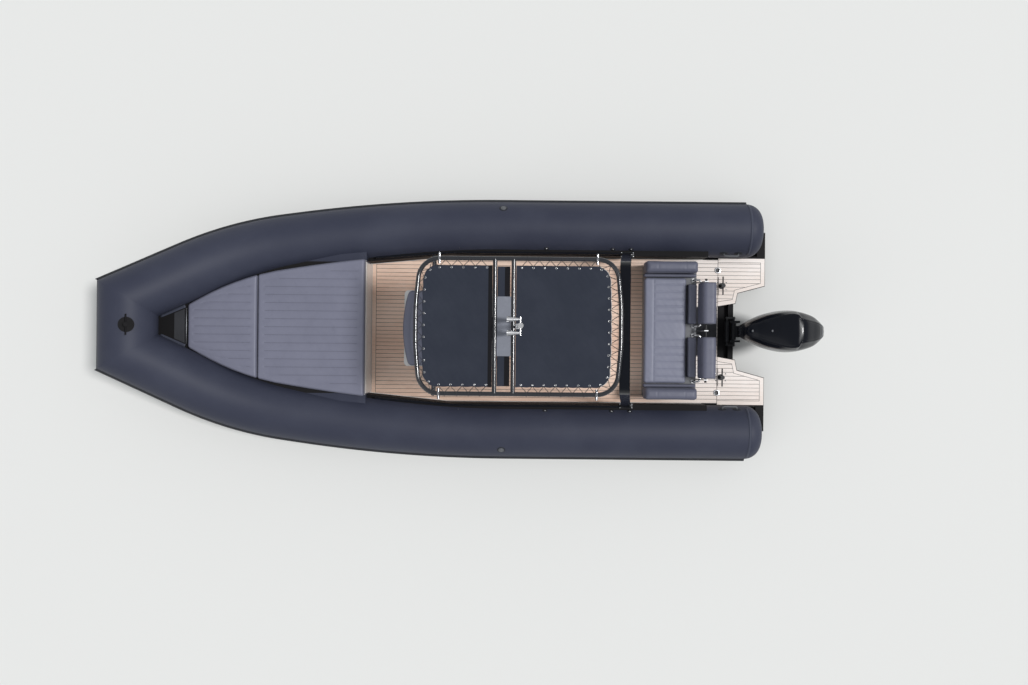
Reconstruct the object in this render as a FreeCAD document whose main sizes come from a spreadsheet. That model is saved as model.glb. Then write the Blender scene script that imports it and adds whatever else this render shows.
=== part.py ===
import FreeCAD, Part
import math
import os
import Sketcher

# Rigid inflatable boat, 7.4 m, with a T-top and one outboard.
# Frame: +X to the bow, +Y to port, +Z up. The origin lies on the waterline,
# on the centreline, at the aft face of the transom. Millimetres.

os.makedirs("parts", exist_ok=True)
doc = FreeCAD.newDocument("inflatable_boat")
V = FreeCAD.Vector

# Driving dimensions: alias, value, meaning.
SIZES = (
    ("fit_gap", "0.3", "clearance between faces that seat on each other"),
    ("run_gap", "6", "clearance round pieces that move"),
    ("tube_radius", "305", "radius of the inflated collar"),
    ("tube_spread", "1155", "centreline of a side tube from the middle, at the stern"),
    ("tube_height", "330", "centre of a side tube above the water, at the stern"),
    ("tube_aft", "-270", "aft end of the side tubes"),
    ("tube_tilt", "34.44", "tilt of the plane that a side tube bends in, degrees"),
    ("tube_end_round", "170", "rounding of a tube's aft end"),
    ("shoulder_x", "3827", "corner of the first long bend"),
    ("cheek_x", "5657", "corner of the bow bend"),
    ("cheek_drop", "351.6", "inward travel at the bow bend, in the tilted plane"),
    ("nose_x", "6725", "centre of the cross tube at the bow"),
    ("nose_drop", "1055", "inward travel at the mitre, in the tilted plane"),
    ("shoulder_bend", "12000", "radius of the first bend"),
    ("cheek_bend", "2750", "radius of the bow bend"),
    ("strake_depth", "25", "how far the rubbing strake stands off the tube"),
    ("strake_height", "92", "height of the rubbing strake"),
    ("stem_back", "165", "head of the stem behind the centre of the cross tube"),
    ("hull_length", "=nose_x - stem_back", "transom to the head of the stem"),
    ("deck_top", "220", "top of the teak above the water"),
    ("teak_thickness", "8", "teak planking"),
    ("gunwale_top", "500", "top of the cockpit side"),
    ("pad_base", "620", "top of the bow locker's coaming"),
    ("foredeck_top", "650", "deck in front of the sun pad"),
    ("cockpit_gap", "12", "cockpit sides inside the tubes"),
    ("cockpit_half", "=tube_spread - tube_radius - cockpit_gap", "half width between the cockpit sides"),
    ("cockpit_aft", "360", "where the cockpit sides begin"),
    ("cockpit_front", "4205", "aft face of the bow locker"),
    ("cockpit_taper_x", "3300", "where the cockpit sides start to close in"),
    ("cockpit_close", "88", "how far each side closes in"),
    ("cockpit_front_half", "=cockpit_half - cockpit_close", "half width of the cockpit at its front"),
    ("locker_wall", "40", "thickness of locker bulkheads"),
    ("locker_floor", "330", "floor of the locker under the rear bow cushion"),
    ("front_locker_floor", "480", "floor of the locker under the front bow cushion"),
    ("pad_gap", "6", "gap between the bow cushions and the tubes"),
    ("seam_height", "100", "joint between hull and deck mouldings"),
    ("pad_split", "5390", "gap line between the two bow cushions"),
    ("pad_front", "6160", "front edge of the bow cushions"),
    ("pad_thickness", "88", "bow cushion"),
    ("lid_thickness", "14", "boards under the cushions"),
    ("hatch_aft", "6212", "aft edge of the anchor locker's lid"),
    ("hatch_front", "6328", "front edge of the anchor locker's lid"),
    ("bow_post_lean", "20", "lean of the bollard on the bow tube, degrees"),
    ("platform_aft", "-364", "aft edge of the swim platforms"),
    ("platform_corner", "530", "inner aft corner of a platform"),
    ("platform_waist", "445", "inner edge beside the outboard"),
    ("well_half", "325", "half width of the motor well at the transom"),
    ("well_front_half", "290", "half width of the motor well at its front"),
    ("well_front", "180", "front of the motor well"),
    ("platform_depth", "150", "thickness of the platform moulding"),
    ("teak_margin", "6", "gelcoat margin round the teak"),
    ("bench_aft", "505", "aft face of the stern bench base"),
    ("bench_front", "1060", "front face of the stern bench base"),
    ("bench_wall", "22", "moulding of the bench base"),
    ("seat_base", "352", "height of the seat bases above the deck"),
    ("cushion_thickness", "84", "seat cushions"),
    ("bench_pad_aft", "632", "aft edge of the bench cushion"),
    ("bench_pad_front", "1100", "front edge of the bench cushion"),
    ("side_walk", "71", "room between the bench and the cockpit side"),
    ("armrest_outer", "=cockpit_half - side_walk", "outer side of the armrests"),
    ("armrest_width", "135", "width of an armrest"),
    ("armrest_ledge", "43", "low inner ledge of an armrest"),
    ("bench_pad_half", "=armrest_outer - armrest_width - armrest_ledge", "half width of the bench cushion"),
    ("armrest_top", "560", "armrest above the deck"),
    ("block_length", "450", "length of a backrest block athwart"),
    ("block_inner", "72", "inner end of a backrest block"),
    ("block_aft", "362", "aft face of the backrest blocks"),
    ("block_depth", "150", "thickness of the backrest blocks"),
    ("block_low", "470", "underside of the blocks above the deck"),
    ("block_high", "740", "top of the blocks above the deck"),
    ("block_pivot_rise", "75", "pivot above the underside of the blocks"),
    ("shaft_radius", "13", "backrest shaft"),
    ("console_aft", "2750", "helm face of the console"),
    ("console_length", "700", "length of the console"),
    ("console_front", "=console_aft + console_length", "front face of the console"),
    ("console_half", "425", "half width of the console"),
    ("console_height", "1050", "console above the deck"),
    ("console_wall", "20", "console moulding"),
    ("front_seat_depth", "330", "seat in front of the console"),
    ("door_width", "340", "console door"),
    ("door_height", "620", "console door"),
    ("door_low", "150", "sill of the console door above the deck"),
    ("screen_height", "330", "windscreen above the console"),
    ("screen_thickness", "8", "windscreen"),
    ("wheel_radius", "175", "steering wheel"),
    ("wheel_rim", "14", "radius of the wheel's rim"),
    ("wheel_height", "830", "wheel centre above the deck"),
    ("wheel_rake", "25", "rake of the wheel from upright, degrees"),
    ("helm_aft", "1560", "aft face of the helm seat base"),
    ("helm_front", "2000", "front face of the helm seat base"),
    ("helm_half", "430", "half width of the helm seat"),
    ("helm_height", "640", "helm seat base above the deck"),
    ("roof_rise", "2000", "middle of the roof tubes above the deck"),
    ("roof_aft", "1587", "aft tube of the roof frame, at the corners"),
    ("roof_front", "3430", "front tube of the roof frame, at the corners"),
    ("roof_half", "633", "side tube of the roof frame"),
    ("roof_bow_out", "40", "how far the end tubes bow out"),
    ("roof_corner", "200", "corner radius of the roof frame"),
    ("roof_tube", "21", "radius of the roof tubes"),
    ("crossbar_aft", "2556", "aft crossbar of the roof"),
    ("crossbar_front", "2730", "front crossbar of the roof"),
    ("canvas_half", "570", "half width of the canvas panels"),
    ("canvas_aft", "1655", "aft edge of the aft panel"),
    ("canvas_mid_aft", "2517", "front edge of the aft panel"),
    ("canvas_mid_front", "2770", "aft edge of the front panel"),
    ("canvas_front", "3395", "front edge of the front panel"),
    ("canvas_corner", "120", "corner radius of the canvas"),
    ("canvas_thickness", "6", "canvas panels"),
    ("leg_radius", "24", "front legs of the T-top"),
    ("arch_width", "100", "fore and aft width of the aft arch"),
    ("arch_thickness", "38", "thickness of the aft arch"),
    ("arch_foot_x", "1275", "foot of the aft arch"),
    ("arch_foot_half", "855", "foot of the aft arch from the middle"),
    ("arch_head_x", "1505", "head of the aft arch"),
    ("arch_head_half", "600", "head of the aft arch from the middle"),
    ("rail_radius", "12", "side hand rails"),
    ("rail_height", "578", "side hand rails above the water"),
    ("rail_inset", "298", "side hand rails inside the tube's centreline"),
    ("rail_aft", "1350", "aft end of the side hand rails"),
    ("rail_front", "4100", "front end of the side hand rails"),
    ("tilt_x", "30", "tilt axis of the outboard"),
    ("tilt_z", "345", "tilt axis of the outboard above the water"),
    ("steer_x", "-165", "steering axis of the outboard"),
    ("cowl_low", "640", "underside of the cowl"),
    ("cowl_wall", "7", "cowl moulding"),
    ("plate_z", "-450", "anti-ventilation plate"),
    ("shaft_z", "-655", "propeller shaft"),
    ("torpedo_radius", "62", "gearcase torpedo"),
    ("propeller_x", "-560", "middle of the propeller"),
    ("hub_gap", "5.3", "propeller hub from the gearcase"),
    ("propeller_radius", "195", "propeller"),
    ("skeg_low", "-905", "tip of the skeg"),
)

sheet = doc.addObject("Spreadsheet::Sheet", "size")
for row, (alias, value, meaning) in enumerate(SIZES, start=1):
    sheet.set(f"A{row}", alias)
    sheet.set(f"B{row}", value)
    sheet.setAlias(f"B{row}", alias)
    sheet.set(f"C{row}", meaning)
doc.recompute()


def mm(expression):
    """The number that an expression of sheet sizes gives."""
    return float(sheet.evalExpression(expression))


def read(alias):
    """One driving dimension."""
    return float(sheet.get(alias))


# Building helpers

def place(thing, x="0", y="0", z="0"):
    """Bind a piece's position to the sheet."""
    for axis, expression in (("x", x), ("y", y), ("z", z)):
        thing.setExpression(f"Placement.Base.{axis}", expression)
    return thing


def box(label, length, width, height, x, y, z):
    """A bound box, from its corner with the lowest x, y and z."""
    piece = doc.addObject("Part::Box", label)
    piece.setExpression("Length", length)
    piece.setExpression("Width", width)
    piece.setExpression("Height", height)
    return place(piece, x, y, z)


AXIS_TURN = {
    "x": FreeCAD.Rotation(V(0, 1, 0), 90),
    "y": FreeCAD.Rotation(V(1, 0, 0), -90),
    "z": FreeCAD.Rotation(),
}


def rod(label, axis, radius, length, x, y, z):
    """A bound cylinder that runs along +X, +Y or +Z from the given point."""
    piece = doc.addObject("Part::Cylinder", label)
    piece.Placement.Rotation = AXIS_TURN[axis]
    piece.setExpression("Radius", radius)
    piece.setExpression("Height", length)
    return place(piece, x, y, z)


def origin_plane(body, role):
    """One of a body's own origin planes."""
    return next(f for f in body.Origin.OriginFeatures if f.Role == role)


def outline_body(label, role, corners):
    """A body with one closed sketch of straight lines through bound corners."""
    body = doc.addObject("PartDesign::Body", label)
    sketch = body.newObject("Sketcher::SketchObject", f"{label}_outline")
    sketch.AttachmentSupport = [(origin_plane(body, role), "")]
    sketch.MapMode = "FlatFace"
    points = [V(mm(x), mm(y), 0) for x, y in corners]
    count = len(points)
    for i in range(count):
        sketch.addGeometry(Part.LineSegment(points[i], points[(i + 1) % count]))
    for i in range(count):
        sketch.addConstraint(Sketcher.Constraint("Coincident", i, 2, (i + 1) % count, 1))
    for i, (x, y) in enumerate(corners):
        across = sketch.addConstraint(Sketcher.Constraint("DistanceX", -1, 1, i, 1, points[i].x))
        sketch.setExpression(f"Constraints[{across}]", x)
        along = sketch.addConstraint(Sketcher.Constraint("DistanceY", -1, 1, i, 1, points[i].y))
        sketch.setExpression(f"Constraints[{along}]", y)
    return body, sketch


def pad(label, role, corners, depth, both=False):
    """An outline padded along its plane's normal, or to both sides of it."""
    body, sketch = outline_body(label, role, corners)
    feature = body.newObject("PartDesign::Pad", f"{label}_pad")
    feature.Profile = sketch
    feature.setExpression("Length", depth)
    feature.Midplane = both
    doc.recompute()
    return body


def soften(body, radius, wanted):
    """Fillet the body's edges that the test picks by their middle and direction."""
    base = body.Tip
    names = []
    for index, edge in enumerate(base.Shape.Edges, start=1):
        middle = edge.valueAt((edge.FirstParameter + edge.LastParameter) / 2)
        along = edge.tangentAt((edge.FirstParameter + edge.LastParameter) / 2)
        if wanted(middle, along):
            names.append(f"Edge{index}")
    feature = body.newObject("PartDesign::Fillet", f"{body.Name}_round{len(body.Group)}")
    feature.Base = (base, names)
    feature.setExpression("Radius", radius)
    doc.recompute()
    return body


def upright(middle, along):
    return abs(along.z) > 0.9


def athwart(middle, along):
    return abs(along.y) > 0.9


def cut(label, base, tool):
    piece = doc.addObject("Part::Cut", label)
    piece.Base = base
    piece.Tool = tool
    return piece


def fuse(label, pieces):
    piece = doc.addObject("Part::MultiFuse", label)
    piece.Shapes = pieces
    piece.Refine = True
    return piece


def mirror(label, source):
    """The same piece on the other side of the centreline."""
    piece = doc.addObject("Part::Mirroring", label)
    piece.Source = source
    piece.Base = V(0, 0, 0)
    piece.Normal = V(0, 1, 0)
    return piece


def solid(label, shape):
    """A piece whose free form the sheet's sizes give through formulas."""
    piece = doc.addObject("Part::Feature", label)
    piece.Shape = shape
    return piece


def route(points, bends):
    """A wire of straight runs joined by tangent arcs, one radius for each inner point."""
    edges = []
    start = points[0]
    for before, corner, after, radius in zip(points, points[1:], points[2:], bends):
        back = (before - corner).normalize()
        ahead = (after - corner).normalize()
        half = back.getAngle(ahead) / 2
        reach = radius / math.tan(half)
        middle = corner + (back + ahead).normalize() * (radius / math.sin(half) - radius)
        entry = corner + back * reach
        leave = corner + ahead * reach
        if (entry - start).Length > 0.01:
            edges.append(Part.LineSegment(start, entry).toShape())
        edges.append(Part.Arc(entry, middle, leave).toShape())
        start = leave
    if (points[-1] - start).Length > 0.01:
        edges.append(Part.LineSegment(start, points[-1]).toShape())
    return Part.Wire(edges)


def closed_line(*corners):
    """A closed wire through points."""
    points = [V(*corner) for corner in corners]
    return Part.makePolygon(points + points[:1])


def disc(radius, centre, normal):
    return Part.Face(Part.Wire(Part.makeCircle(radius, centre, normal)))


def pipe(wire, radius):
    """A round bar along a wire."""
    first = wire.Edges[0]
    start = first.valueAt(first.FirstParameter)
    along = first.tangentAt(first.FirstParameter)
    return wire.makePipe(disc(radius, start, along))


def flip(shape):
    return shape.mirror(V(0, 0, 0), V(0, 1, 0))


# Collar: each side tube bends in a plane that leans inward and up

TILT = math.radians(read("tube_tilt"))
TUBE_R = read("tube_radius")


def tube_point(x, drop):
    """The point of a side tube's plane at this x and inward travel."""
    y = read("tube_spread") - drop * math.cos(TILT)
    z = read("tube_height") + drop * math.sin(TILT)
    return V(x, y, z)


MITRE = tube_point(read("nose_x"), read("nose_drop"))
CHEEK = tube_point(read("cheek_x"), read("cheek_drop"))
RUN_OUT = (MITRE - CHEEK).normalize()
TUBE_BENDS = (read("shoulder_bend"), read("cheek_bend"))
SPARE = 2 * TUBE_R
tube_wire = route(
    (
        tube_point(read("tube_aft"), 0),
        tube_point(read("shoulder_x"), 0),
        CHEEK,
        MITRE + RUN_OUT * SPARE,
    ),
    TUBE_BENDS,
)
trace = tube_wire.discretize(Distance=4)


def tube_at(x):
    """Centre of the port tube at this x."""
    if x <= trace[0].x:
        return V(x, trace[0].y, trace[0].z)
    after = next((i for i, p in enumerate(trace) if p.x > x), len(trace) - 1)
    one = trace[after - 1]
    two = trace[after]
    share = (x - one.x) / (two.x - one.x)
    return one + (two - one) * share


def tube_inner(x, z):
    """Half width between the tubes at this x and height."""
    centre = tube_at(x)
    ahead = tube_at(x + 10) - centre
    slope = math.hypot(ahead.x, ahead.y) / ahead.x
    rise = min(abs(z - centre.z), TUBE_R)
    return centre.y - math.sqrt(TUBE_R ** 2 - rise ** 2) * slope


mitre_normal = (RUN_OUT + V(0, -1, 0)).normalize()


def behind_mitre(keep_aft):
    """A block on one side of the port mitre plane."""
    reach = 2 * read("nose_x")
    block = Part.makeBox(2 * reach, 2 * reach, reach, V(-reach, -reach, 0))
    block.Placement = FreeCAD.Placement(
        MITRE, FreeCAD.Rotation(V(0, 0, 1), mitre_normal * (-1 if keep_aft else 1))
    )
    return block


def side_tube(radius):
    return pipe(tube_wire, radius).common(behind_mitre(True))


def nose_tube(radius):
    half = MITRE.y + SPARE
    bar = Part.makeCylinder(radius, 2 * half, V(MITRE.x, -half, MITRE.z), V(0, 1, 0))
    port = behind_mitre(True)
    return bar.cut(port).cut(flip(port))


def rounded_end(tube):
    """Round the aft end of a side tube."""
    end_x = read("tube_aft")
    boxes = [(edge, edge.BoundBox) for edge in tube.Edges]
    aft = [edge for edge, bounds in boxes if abs(bounds.XMax - end_x) < 0.01 and bounds.XLength < 0.01]
    return tube.makeFillet(read("tube_end_round"), aft)


collar_port = solid("collar_port", rounded_end(side_tube(TUBE_R)))
collar_starboard = mirror("collar_starboard", collar_port)
collar_bow = solid("collar_bow", nose_tube(TUBE_R))

# Rubbing strake: a band on the collar's outer equator, with chamfered edges

def strake_face(centre, outward, upward):
    """Section of the strake against a tube."""
    half = math.asin(read("strake_height") / 2 / TUBE_R)
    near = TUBE_R + read("fit_gap")
    far = TUBE_R + read("strake_depth")

    def at(radius, angle):
        return centre + outward * (radius * math.cos(angle)) + upward * (radius * math.sin(angle))

    edges = [
        Part.Arc(at(near, -half), at(near, 0), at(near, half)).toShape(),
        Part.LineSegment(at(near, half), at(far, half * 0.55)).toShape(),
        Part.Arc(at(far, half * 0.55), at(far, 0), at(far, -half * 0.55)).toShape(),
        Part.LineSegment(at(far, -half * 0.55), at(near, -half)).toShape(),
    ]
    return Part.Face(Part.Wire(edges))


aft_end = tube_point(read("tube_aft") + read("tube_end_round"), 0)
strake_wire = route(
    (aft_end, tube_point(read("shoulder_x"), 0), CHEEK, MITRE + RUN_OUT * SPARE),
    TUBE_BENDS,
)
side_strake = strake_wire.makePipe(strake_face(aft_end, V(0, 1, 0), V(0, 0, 1)))
side_strake = side_strake.common(behind_mitre(True))
nose_half = MITRE.y + SPARE
nose_face = strake_face(V(MITRE.x, -nose_half, MITRE.z), V(1, 0, 0), V(0, 0, 1))
nose_strake = nose_face.extrude(V(0, 2 * nose_half, 0))
nose_strake = nose_strake.cut(behind_mitre(True)).cut(flip(behind_mitre(True)))
rubbing_strake = solid("rubbing_strake", side_strake.multiFuse([nose_strake, flip(side_strake)]))

# Hull: a V bottom lofted through a few stations up to the tubes.
# x and keel are lengths; chine_share is of the tube's centreline there;
# shoulder and top are offsets from the tube's centre in tube radii.
STATIONS = (
    # x share, keel z, chine share, chine z, shoulder in, shoulder down, top in, top z
    (0.000, -420, 0.850, -30, 0.18, 0.59, 0.33, "gunwale_top"),
    (0.230, -420, 0.850, -22, 0.18, 0.59, 0.33, "gunwale_top"),
    (0.490, -402, 0.840, 15, 0.18, 0.59, 0.33, "gunwale_top"),
    (0.686, -310, 0.800, 110, 0.19, 0.55, 0.36, "pad_base"),
    (0.838, -70, 0.620, 285, 0.25, 0.36, 0.36, "pad_base"),
    (0.940, 270, 0.340, 480, 0.25, 0.50, 0.33, "foredeck_top"),
    (1.000, 548, 0.110, 590, 0.62, 0.80, 0.66, "foredeck_top"),
)
CHINE_FLAT = 45


def station_wire(share, keel, chine_share, chine_z, shoulder_in, shoulder_down, top_in, top_size):
    x = share * read("hull_length")
    centre = tube_at(x)
    chine = chine_share * centre.y
    top_z = read(top_size)
    shoulder_z = min(centre.z - shoulder_down * TUBE_R, top_z - CHINE_FLAT)
    half = (
        (max(chine - CHINE_FLAT, chine / 2), chine_z),
        (chine, chine_z + 4),
        (centre.y - shoulder_in * TUBE_R, shoulder_z),
        (centre.y - top_in * TUBE_R, top_z),
    )
    port = [V(x, y, z) for y, z in half]
    starboard = [V(x, -y, z) for y, z in reversed(half)]
    ring = [V(x, 0, keel)] + port + starboard
    return Part.makePolygon(ring + ring[:1])


hull_form = Part.makeLoft([station_wire(*row) for row in STATIONS], True, True)

grown_side = side_tube(TUBE_R + read("fit_gap"))
grown_collar = grown_side.multiFuse([nose_tube(TUBE_R + read("fit_gap")), flip(grown_side)])
tube_space = solid("tube_space", grown_collar)
lofted_form = solid("hull_form", hull_form)
hull_clear = cut("hull_clear", lofted_form, tube_space)


def wide_box(label, low, high, x_from="-1000", x_to="size.nose_x + 1000"):
    """A block wider than the boat between two heights."""
    return box(label, f"{x_to} - ({x_from})", "4000", f"{high} - ({low})", x_from, "-2000", low)


def common(label, base, tool):
    piece = doc.addObject("Part::Common", label)
    piece.Base = base
    piece.Tool = tool
    return piece


hull_below = common("hull_below", hull_clear, wide_box("below_seam", "-1000", "size.seam_height"))

# Deck moulding: sides, sole, coaming and platforms above the seam

SOLE = "size.deck_top - size.teak_thickness"
deck_block = common("deck_block", hull_clear, wide_box("above_seam", "size.seam_height", "2000"))


def platform_outline(margin):
    """Port swim platform in plan, drawn in by a margin."""
    return (
        (f"size.platform_aft + {margin}", f"size.platform_corner + {margin}"),
        (f"size.platform_aft + {margin}", f"size.tube_spread - {margin}"),
        (f"size.well_front + {margin}", f"size.tube_spread - {margin}"),
        (f"size.well_front + {margin}", f"size.well_front_half + {margin}"),
        (f"-25 + {margin}", f"size.well_half + {margin}"),
        (f"-50 + {margin}", f"size.platform_waist + {margin}"),
    )


platform_port = pad(
    "platform_port", "XY_Plane", platform_outline("0"), "size.platform_depth - size.teak_thickness"
)
place(platform_port, z="size.deck_top - size.platform_depth")
platform_starboard = mirror("platform_starboard", platform_port)
platforms = cut("platforms", fuse("platform_pair", [platform_port, platform_starboard]), tube_space)
hull_bottom = cut("hull_bottom", hull_below, platforms)

cockpit_space = pad(
    "cockpit_space",
    "XY_Plane",
    (
        ("-1000", "-2000"),
        ("size.cockpit_aft", "-2000"),
        ("size.cockpit_aft", "-size.cockpit_half"),
        ("size.cockpit_taper_x", "-size.cockpit_half"),
        ("size.cockpit_front", "-size.cockpit_front_half"),
        ("size.cockpit_front", "size.cockpit_front_half"),
        ("size.cockpit_taper_x", "size.cockpit_half"),
        ("size.cockpit_aft", "size.cockpit_half"),
        ("size.cockpit_aft", "2000"),
        ("-1000", "2000"),
    ),
    "1000",
)
place(cockpit_space, z=SOLE)
above_gunwale = wide_box("above_gunwale", "size.gunwale_top", "2000", "-1000", "size.cockpit_front")
well_space = pad(
    "well_space",
    "XY_Plane",
    (
        ("60", "-size.well_half"),
        ("size.well_front", "-size.well_front_half"),
        ("size.well_front", "size.well_front_half"),
        ("60", "size.well_half"),
    ),
    "1000",
)
place(well_space, z=f"{SOLE} - 60")


def between_tubes(x_aft, x_front, low, high, inset, at_height):
    """A prism between two stations whose sides run beside the tubes."""
    steps = 6
    port = []
    for i in range(steps + 1):
        x = x_aft + (x_front - x_aft) * i / steps
        port.append(V(x, tube_inner(x, at_height) - inset, low))
    starboard = [V(p.x, -p.y, low) for p in reversed(port)]
    ring = port + starboard
    return Part.Face(Part.makePolygon(ring + ring[:1])).extrude(V(0, 0, high - low))


WALL = read("locker_wall")
LOCKER_TOP = read("pad_base") + 280
rear_locker = solid(
    "rear_locker_space",
    between_tubes(
        read("cockpit_front") + WALL, read("pad_split") - WALL / 2,
        read("locker_floor"), LOCKER_TOP, WALL, read("gunwale_top") - WALL,
    ),
)
front_locker = solid(
    "front_locker_space",
    between_tubes(
        read("pad_split") + WALL / 2, read("pad_front") - 1.5 * WALL,
        read("front_locker_floor"), LOCKER_TOP, WALL, read("pad_base"),
    ),
)
above_coaming = box(
    "above_coaming", "size.pad_front - size.cockpit_front + 2", "4000", "400",
    "size.cockpit_front - 1", "-2000", "size.pad_base",
)
anchor_space = box("anchor_space", "90", "160", "70", "6235", "-80", "size.foredeck_top - 60")

deck_cuts = fuse(
    "deck_cuts",
    [cockpit_space, above_gunwale, well_space, rear_locker, front_locker, above_coaming, anchor_space],
)
deck_whole = fuse("deck_whole", [deck_block, platforms])
deck_shaped = cut("deck_shaped", deck_whole, deck_cuts)
side_space = wide_box("side_space", SOLE, "2000", "size.cockpit_aft", "size.cockpit_front")
deck_moulding = cut("deck_moulding", deck_shaped, side_space)
gunwales = common("gunwales", deck_shaped, side_space)

teak_sole = pad(
    "teak_sole",
    "XY_Plane",
    (
        ("size.well_front + size.teak_margin", "-size.cockpit_half + size.teak_margin"),
        ("size.cockpit_taper_x", "-size.cockpit_half + size.teak_margin"),
        ("size.cockpit_front - size.teak_margin", "-size.cockpit_front_half + size.teak_margin"),
        ("size.cockpit_front - size.teak_margin", "size.cockpit_front_half - size.teak_margin"),
        ("size.cockpit_taper_x", "size.cockpit_half - size.teak_margin"),
        ("size.well_front + size.teak_margin", "size.cockpit_half - size.teak_margin"),
    ),
    "size.teak_thickness",
)
place(teak_sole, z=SOLE)

teak_port = pad(
    "teak_port",
    "XY_Plane",
    (
        ("size.platform_aft + size.teak_margin", "size.platform_corner + size.teak_margin"),
        ("size.platform_aft + size.teak_margin", "size.tube_spread - size.tube_radius"),
        ("size.well_front", "size.tube_spread - size.tube_radius"),
        ("size.well_front", "size.well_front_half + size.teak_margin"),
        ("-25 + size.teak_margin", "size.well_half + size.teak_margin"),
        ("-50 + size.teak_margin", "size.platform_waist + size.teak_margin"),
    ),
    "size.teak_thickness",
)
place(teak_port, z=SOLE)
teak_platforms = fuse("teak_platforms", [teak_port, mirror("teak_starboard", teak_port)])

# Bow lockers: a board with its cushion over each, hinged at the aft edge

PAD_AFT = read("cockpit_front")
SPLIT = read("pad_split")
HALF_GAP = read("run_gap") / 2
LID_LOW = read("pad_base") + read("fit_gap")
LID_HIGH = LID_LOW + read("lid_thickness")
PAD_LOW = LID_HIGH + read("fit_gap")
PAD_HIGH = PAD_LOW + read("pad_thickness")


def equator_prism(label, x_aft, x_front, low, high, inset):
    """A pad that fills the space between the tubes seen from above."""
    steps = 6
    port = []
    for i in range(steps + 1):
        x = x_aft + (x_front - x_aft) * i / steps
        port.append(V(x, tube_inner(x, tube_at(x).z) - inset, low))
    starboard = [V(p.x, -p.y, low) for p in reversed(port)]
    ring = port + starboard
    return solid(label, Part.Face(Part.makePolygon(ring + ring[:1])).extrude(V(0, 0, high - low)))


BOW_PADS = (
    # name, aft x, front x
    ("rear", PAD_AFT, SPLIT - HALF_GAP),
    ("front", SPLIT + HALF_GAP, read("pad_front")),
)
bow_pieces = []
for name, x_aft, x_front in BOW_PADS:
    inset = read("pad_gap")
    lid = equator_prism(f"bow_lid_{name}", x_aft, x_front, LID_LOW, LID_HIGH, inset + 12)
    cushion = equator_prism(f"bow_cushion_{name}", x_aft, x_front, PAD_LOW, PAD_HIGH, inset)
    bow_pieces += [lid, cushion]

# Foredeck: anchor locker lid and mooring post

FOREDECK = "size.foredeck_top + size.fit_gap"
anchor_lid = pad(
    "anchor_lid",
    "XY_Plane",
    (
        ("size.hatch_aft", "-190"),
        ("size.hatch_front", "-140"),
        ("size.hatch_front", "140"),
        ("size.hatch_aft", "190"),
    ),
    "12",
)
place(anchor_lid, z=FOREDECK)


def mooring_post(x, y, foot, tall, bar_length, radius):
    """A post on a round foot, with a cross bar along Y and a crown."""
    post = Part.makeCylinder(radius, tall, V(x, y, foot))
    plate = Part.makeCylinder(radius * 2, 6, V(x, y, foot))
    bar_start = V(x, y - bar_length / 2, foot + tall * 0.72)
    bar = Part.makeCylinder(radius * 0.45, bar_length, bar_start, V(0, 1, 0))
    crown = Part.makeCylinder(radius * 1.25, 8, V(x, y, foot + tall))
    return post.multiFuse([plate, bar, crown]).removeSplitter()


POST_LEAN = math.radians(read("bow_post_lean"))


def bow_bollard():
    """A low bollard on a round pad that is moulded to the cross tube."""
    lean = V(-math.sin(POST_LEAN), 0, math.cos(POST_LEAN))
    centre = V(MITRE.x, 0, MITRE.z)
    seat = centre + lean * TUBE_R
    pad_disc = Part.makeCylinder(80, 24, seat - lean * 16, lean)
    pad_disc = pad_disc.cut(nose_tube(TUBE_R + read("fit_gap")))
    post = Part.makeCylinder(17, 88, seat + lean * 4, lean)
    crown = Part.makeCylinder(23, 8, seat + lean * 90, lean)
    middle = seat + lean * 62
    bar = Part.makeCylinder(8, 222, middle - V(0, 111, 0), V(0, 1, 0))
    return pad_disc.multiFuse([post, crown, bar]).removeSplitter()


bow_post = solid("bow_post", bow_bollard())
STERN_POST_X = 140
STERN_POST_Y = 530
post_foot = read("deck_top") + read("fit_gap")
stern_posts = [mooring_post(STERN_POST_X, y, post_foot, 100, 210, 18) for y in (STERN_POST_Y, -STERN_POST_Y)]
solid("stern_bollards", Part.makeCompound(stern_posts))

# Towing eyes: one on the stem, two under the stern platforms

STEM_LOW, STEM_HIGH = [
    V(share * read("hull_length"), 0, keel) for share, keel in [row[:2] for row in STATIONS[4:6]]
]
stem_run = (STEM_HIGH - STEM_LOW).normalize()
stem_out = V(stem_run.z, 0, -stem_run.x)


def stem_eye():
    foot = STEM_LOW + stem_run * 560
    centre = foot + stem_out * 34
    plate = Part.makeCylinder(30, 14, centre - V(0, 7, 0), V(0, 1, 0))
    root = Part.makeBox(90, 14, 44)
    root_corner = foot - stem_run * 45 - V(0, 7, 0) - stem_out * 8
    root.Placement = FreeCAD.Placement(root_corner, FreeCAD.Rotation(V(1, 0, 0), stem_run))
    hole = Part.makeCylinder(12, 40, centre - V(0, 20, 0), V(0, 1, 0))
    return plate.fuse(root).cut(hole)


bow_eye = cut("bow_eye", solid("bow_eye_blank", stem_eye()), lofted_form)

stern_eye_list = []
for y in (600, -600):
    plate = Part.makeBox(60, 60, 14, V(-60, y - 30, -27))
    nose = Part.makeCylinder(30, 14, V(-60, y, -27))
    back = Part.makeBox(8, 90, 70, V(-8.3, y - 45, -55))
    stern_eye_list.append(plate.multiFuse([nose, back]).cut(Part.makeCylinder(13, 60, V(-60, y, -50))))
stern_eyes = solid("stern_eyes", Part.makeCompound(stern_eye_list))

# Side hand rails on the cockpit sides

RAIL_Z = read("rail_height")


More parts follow.
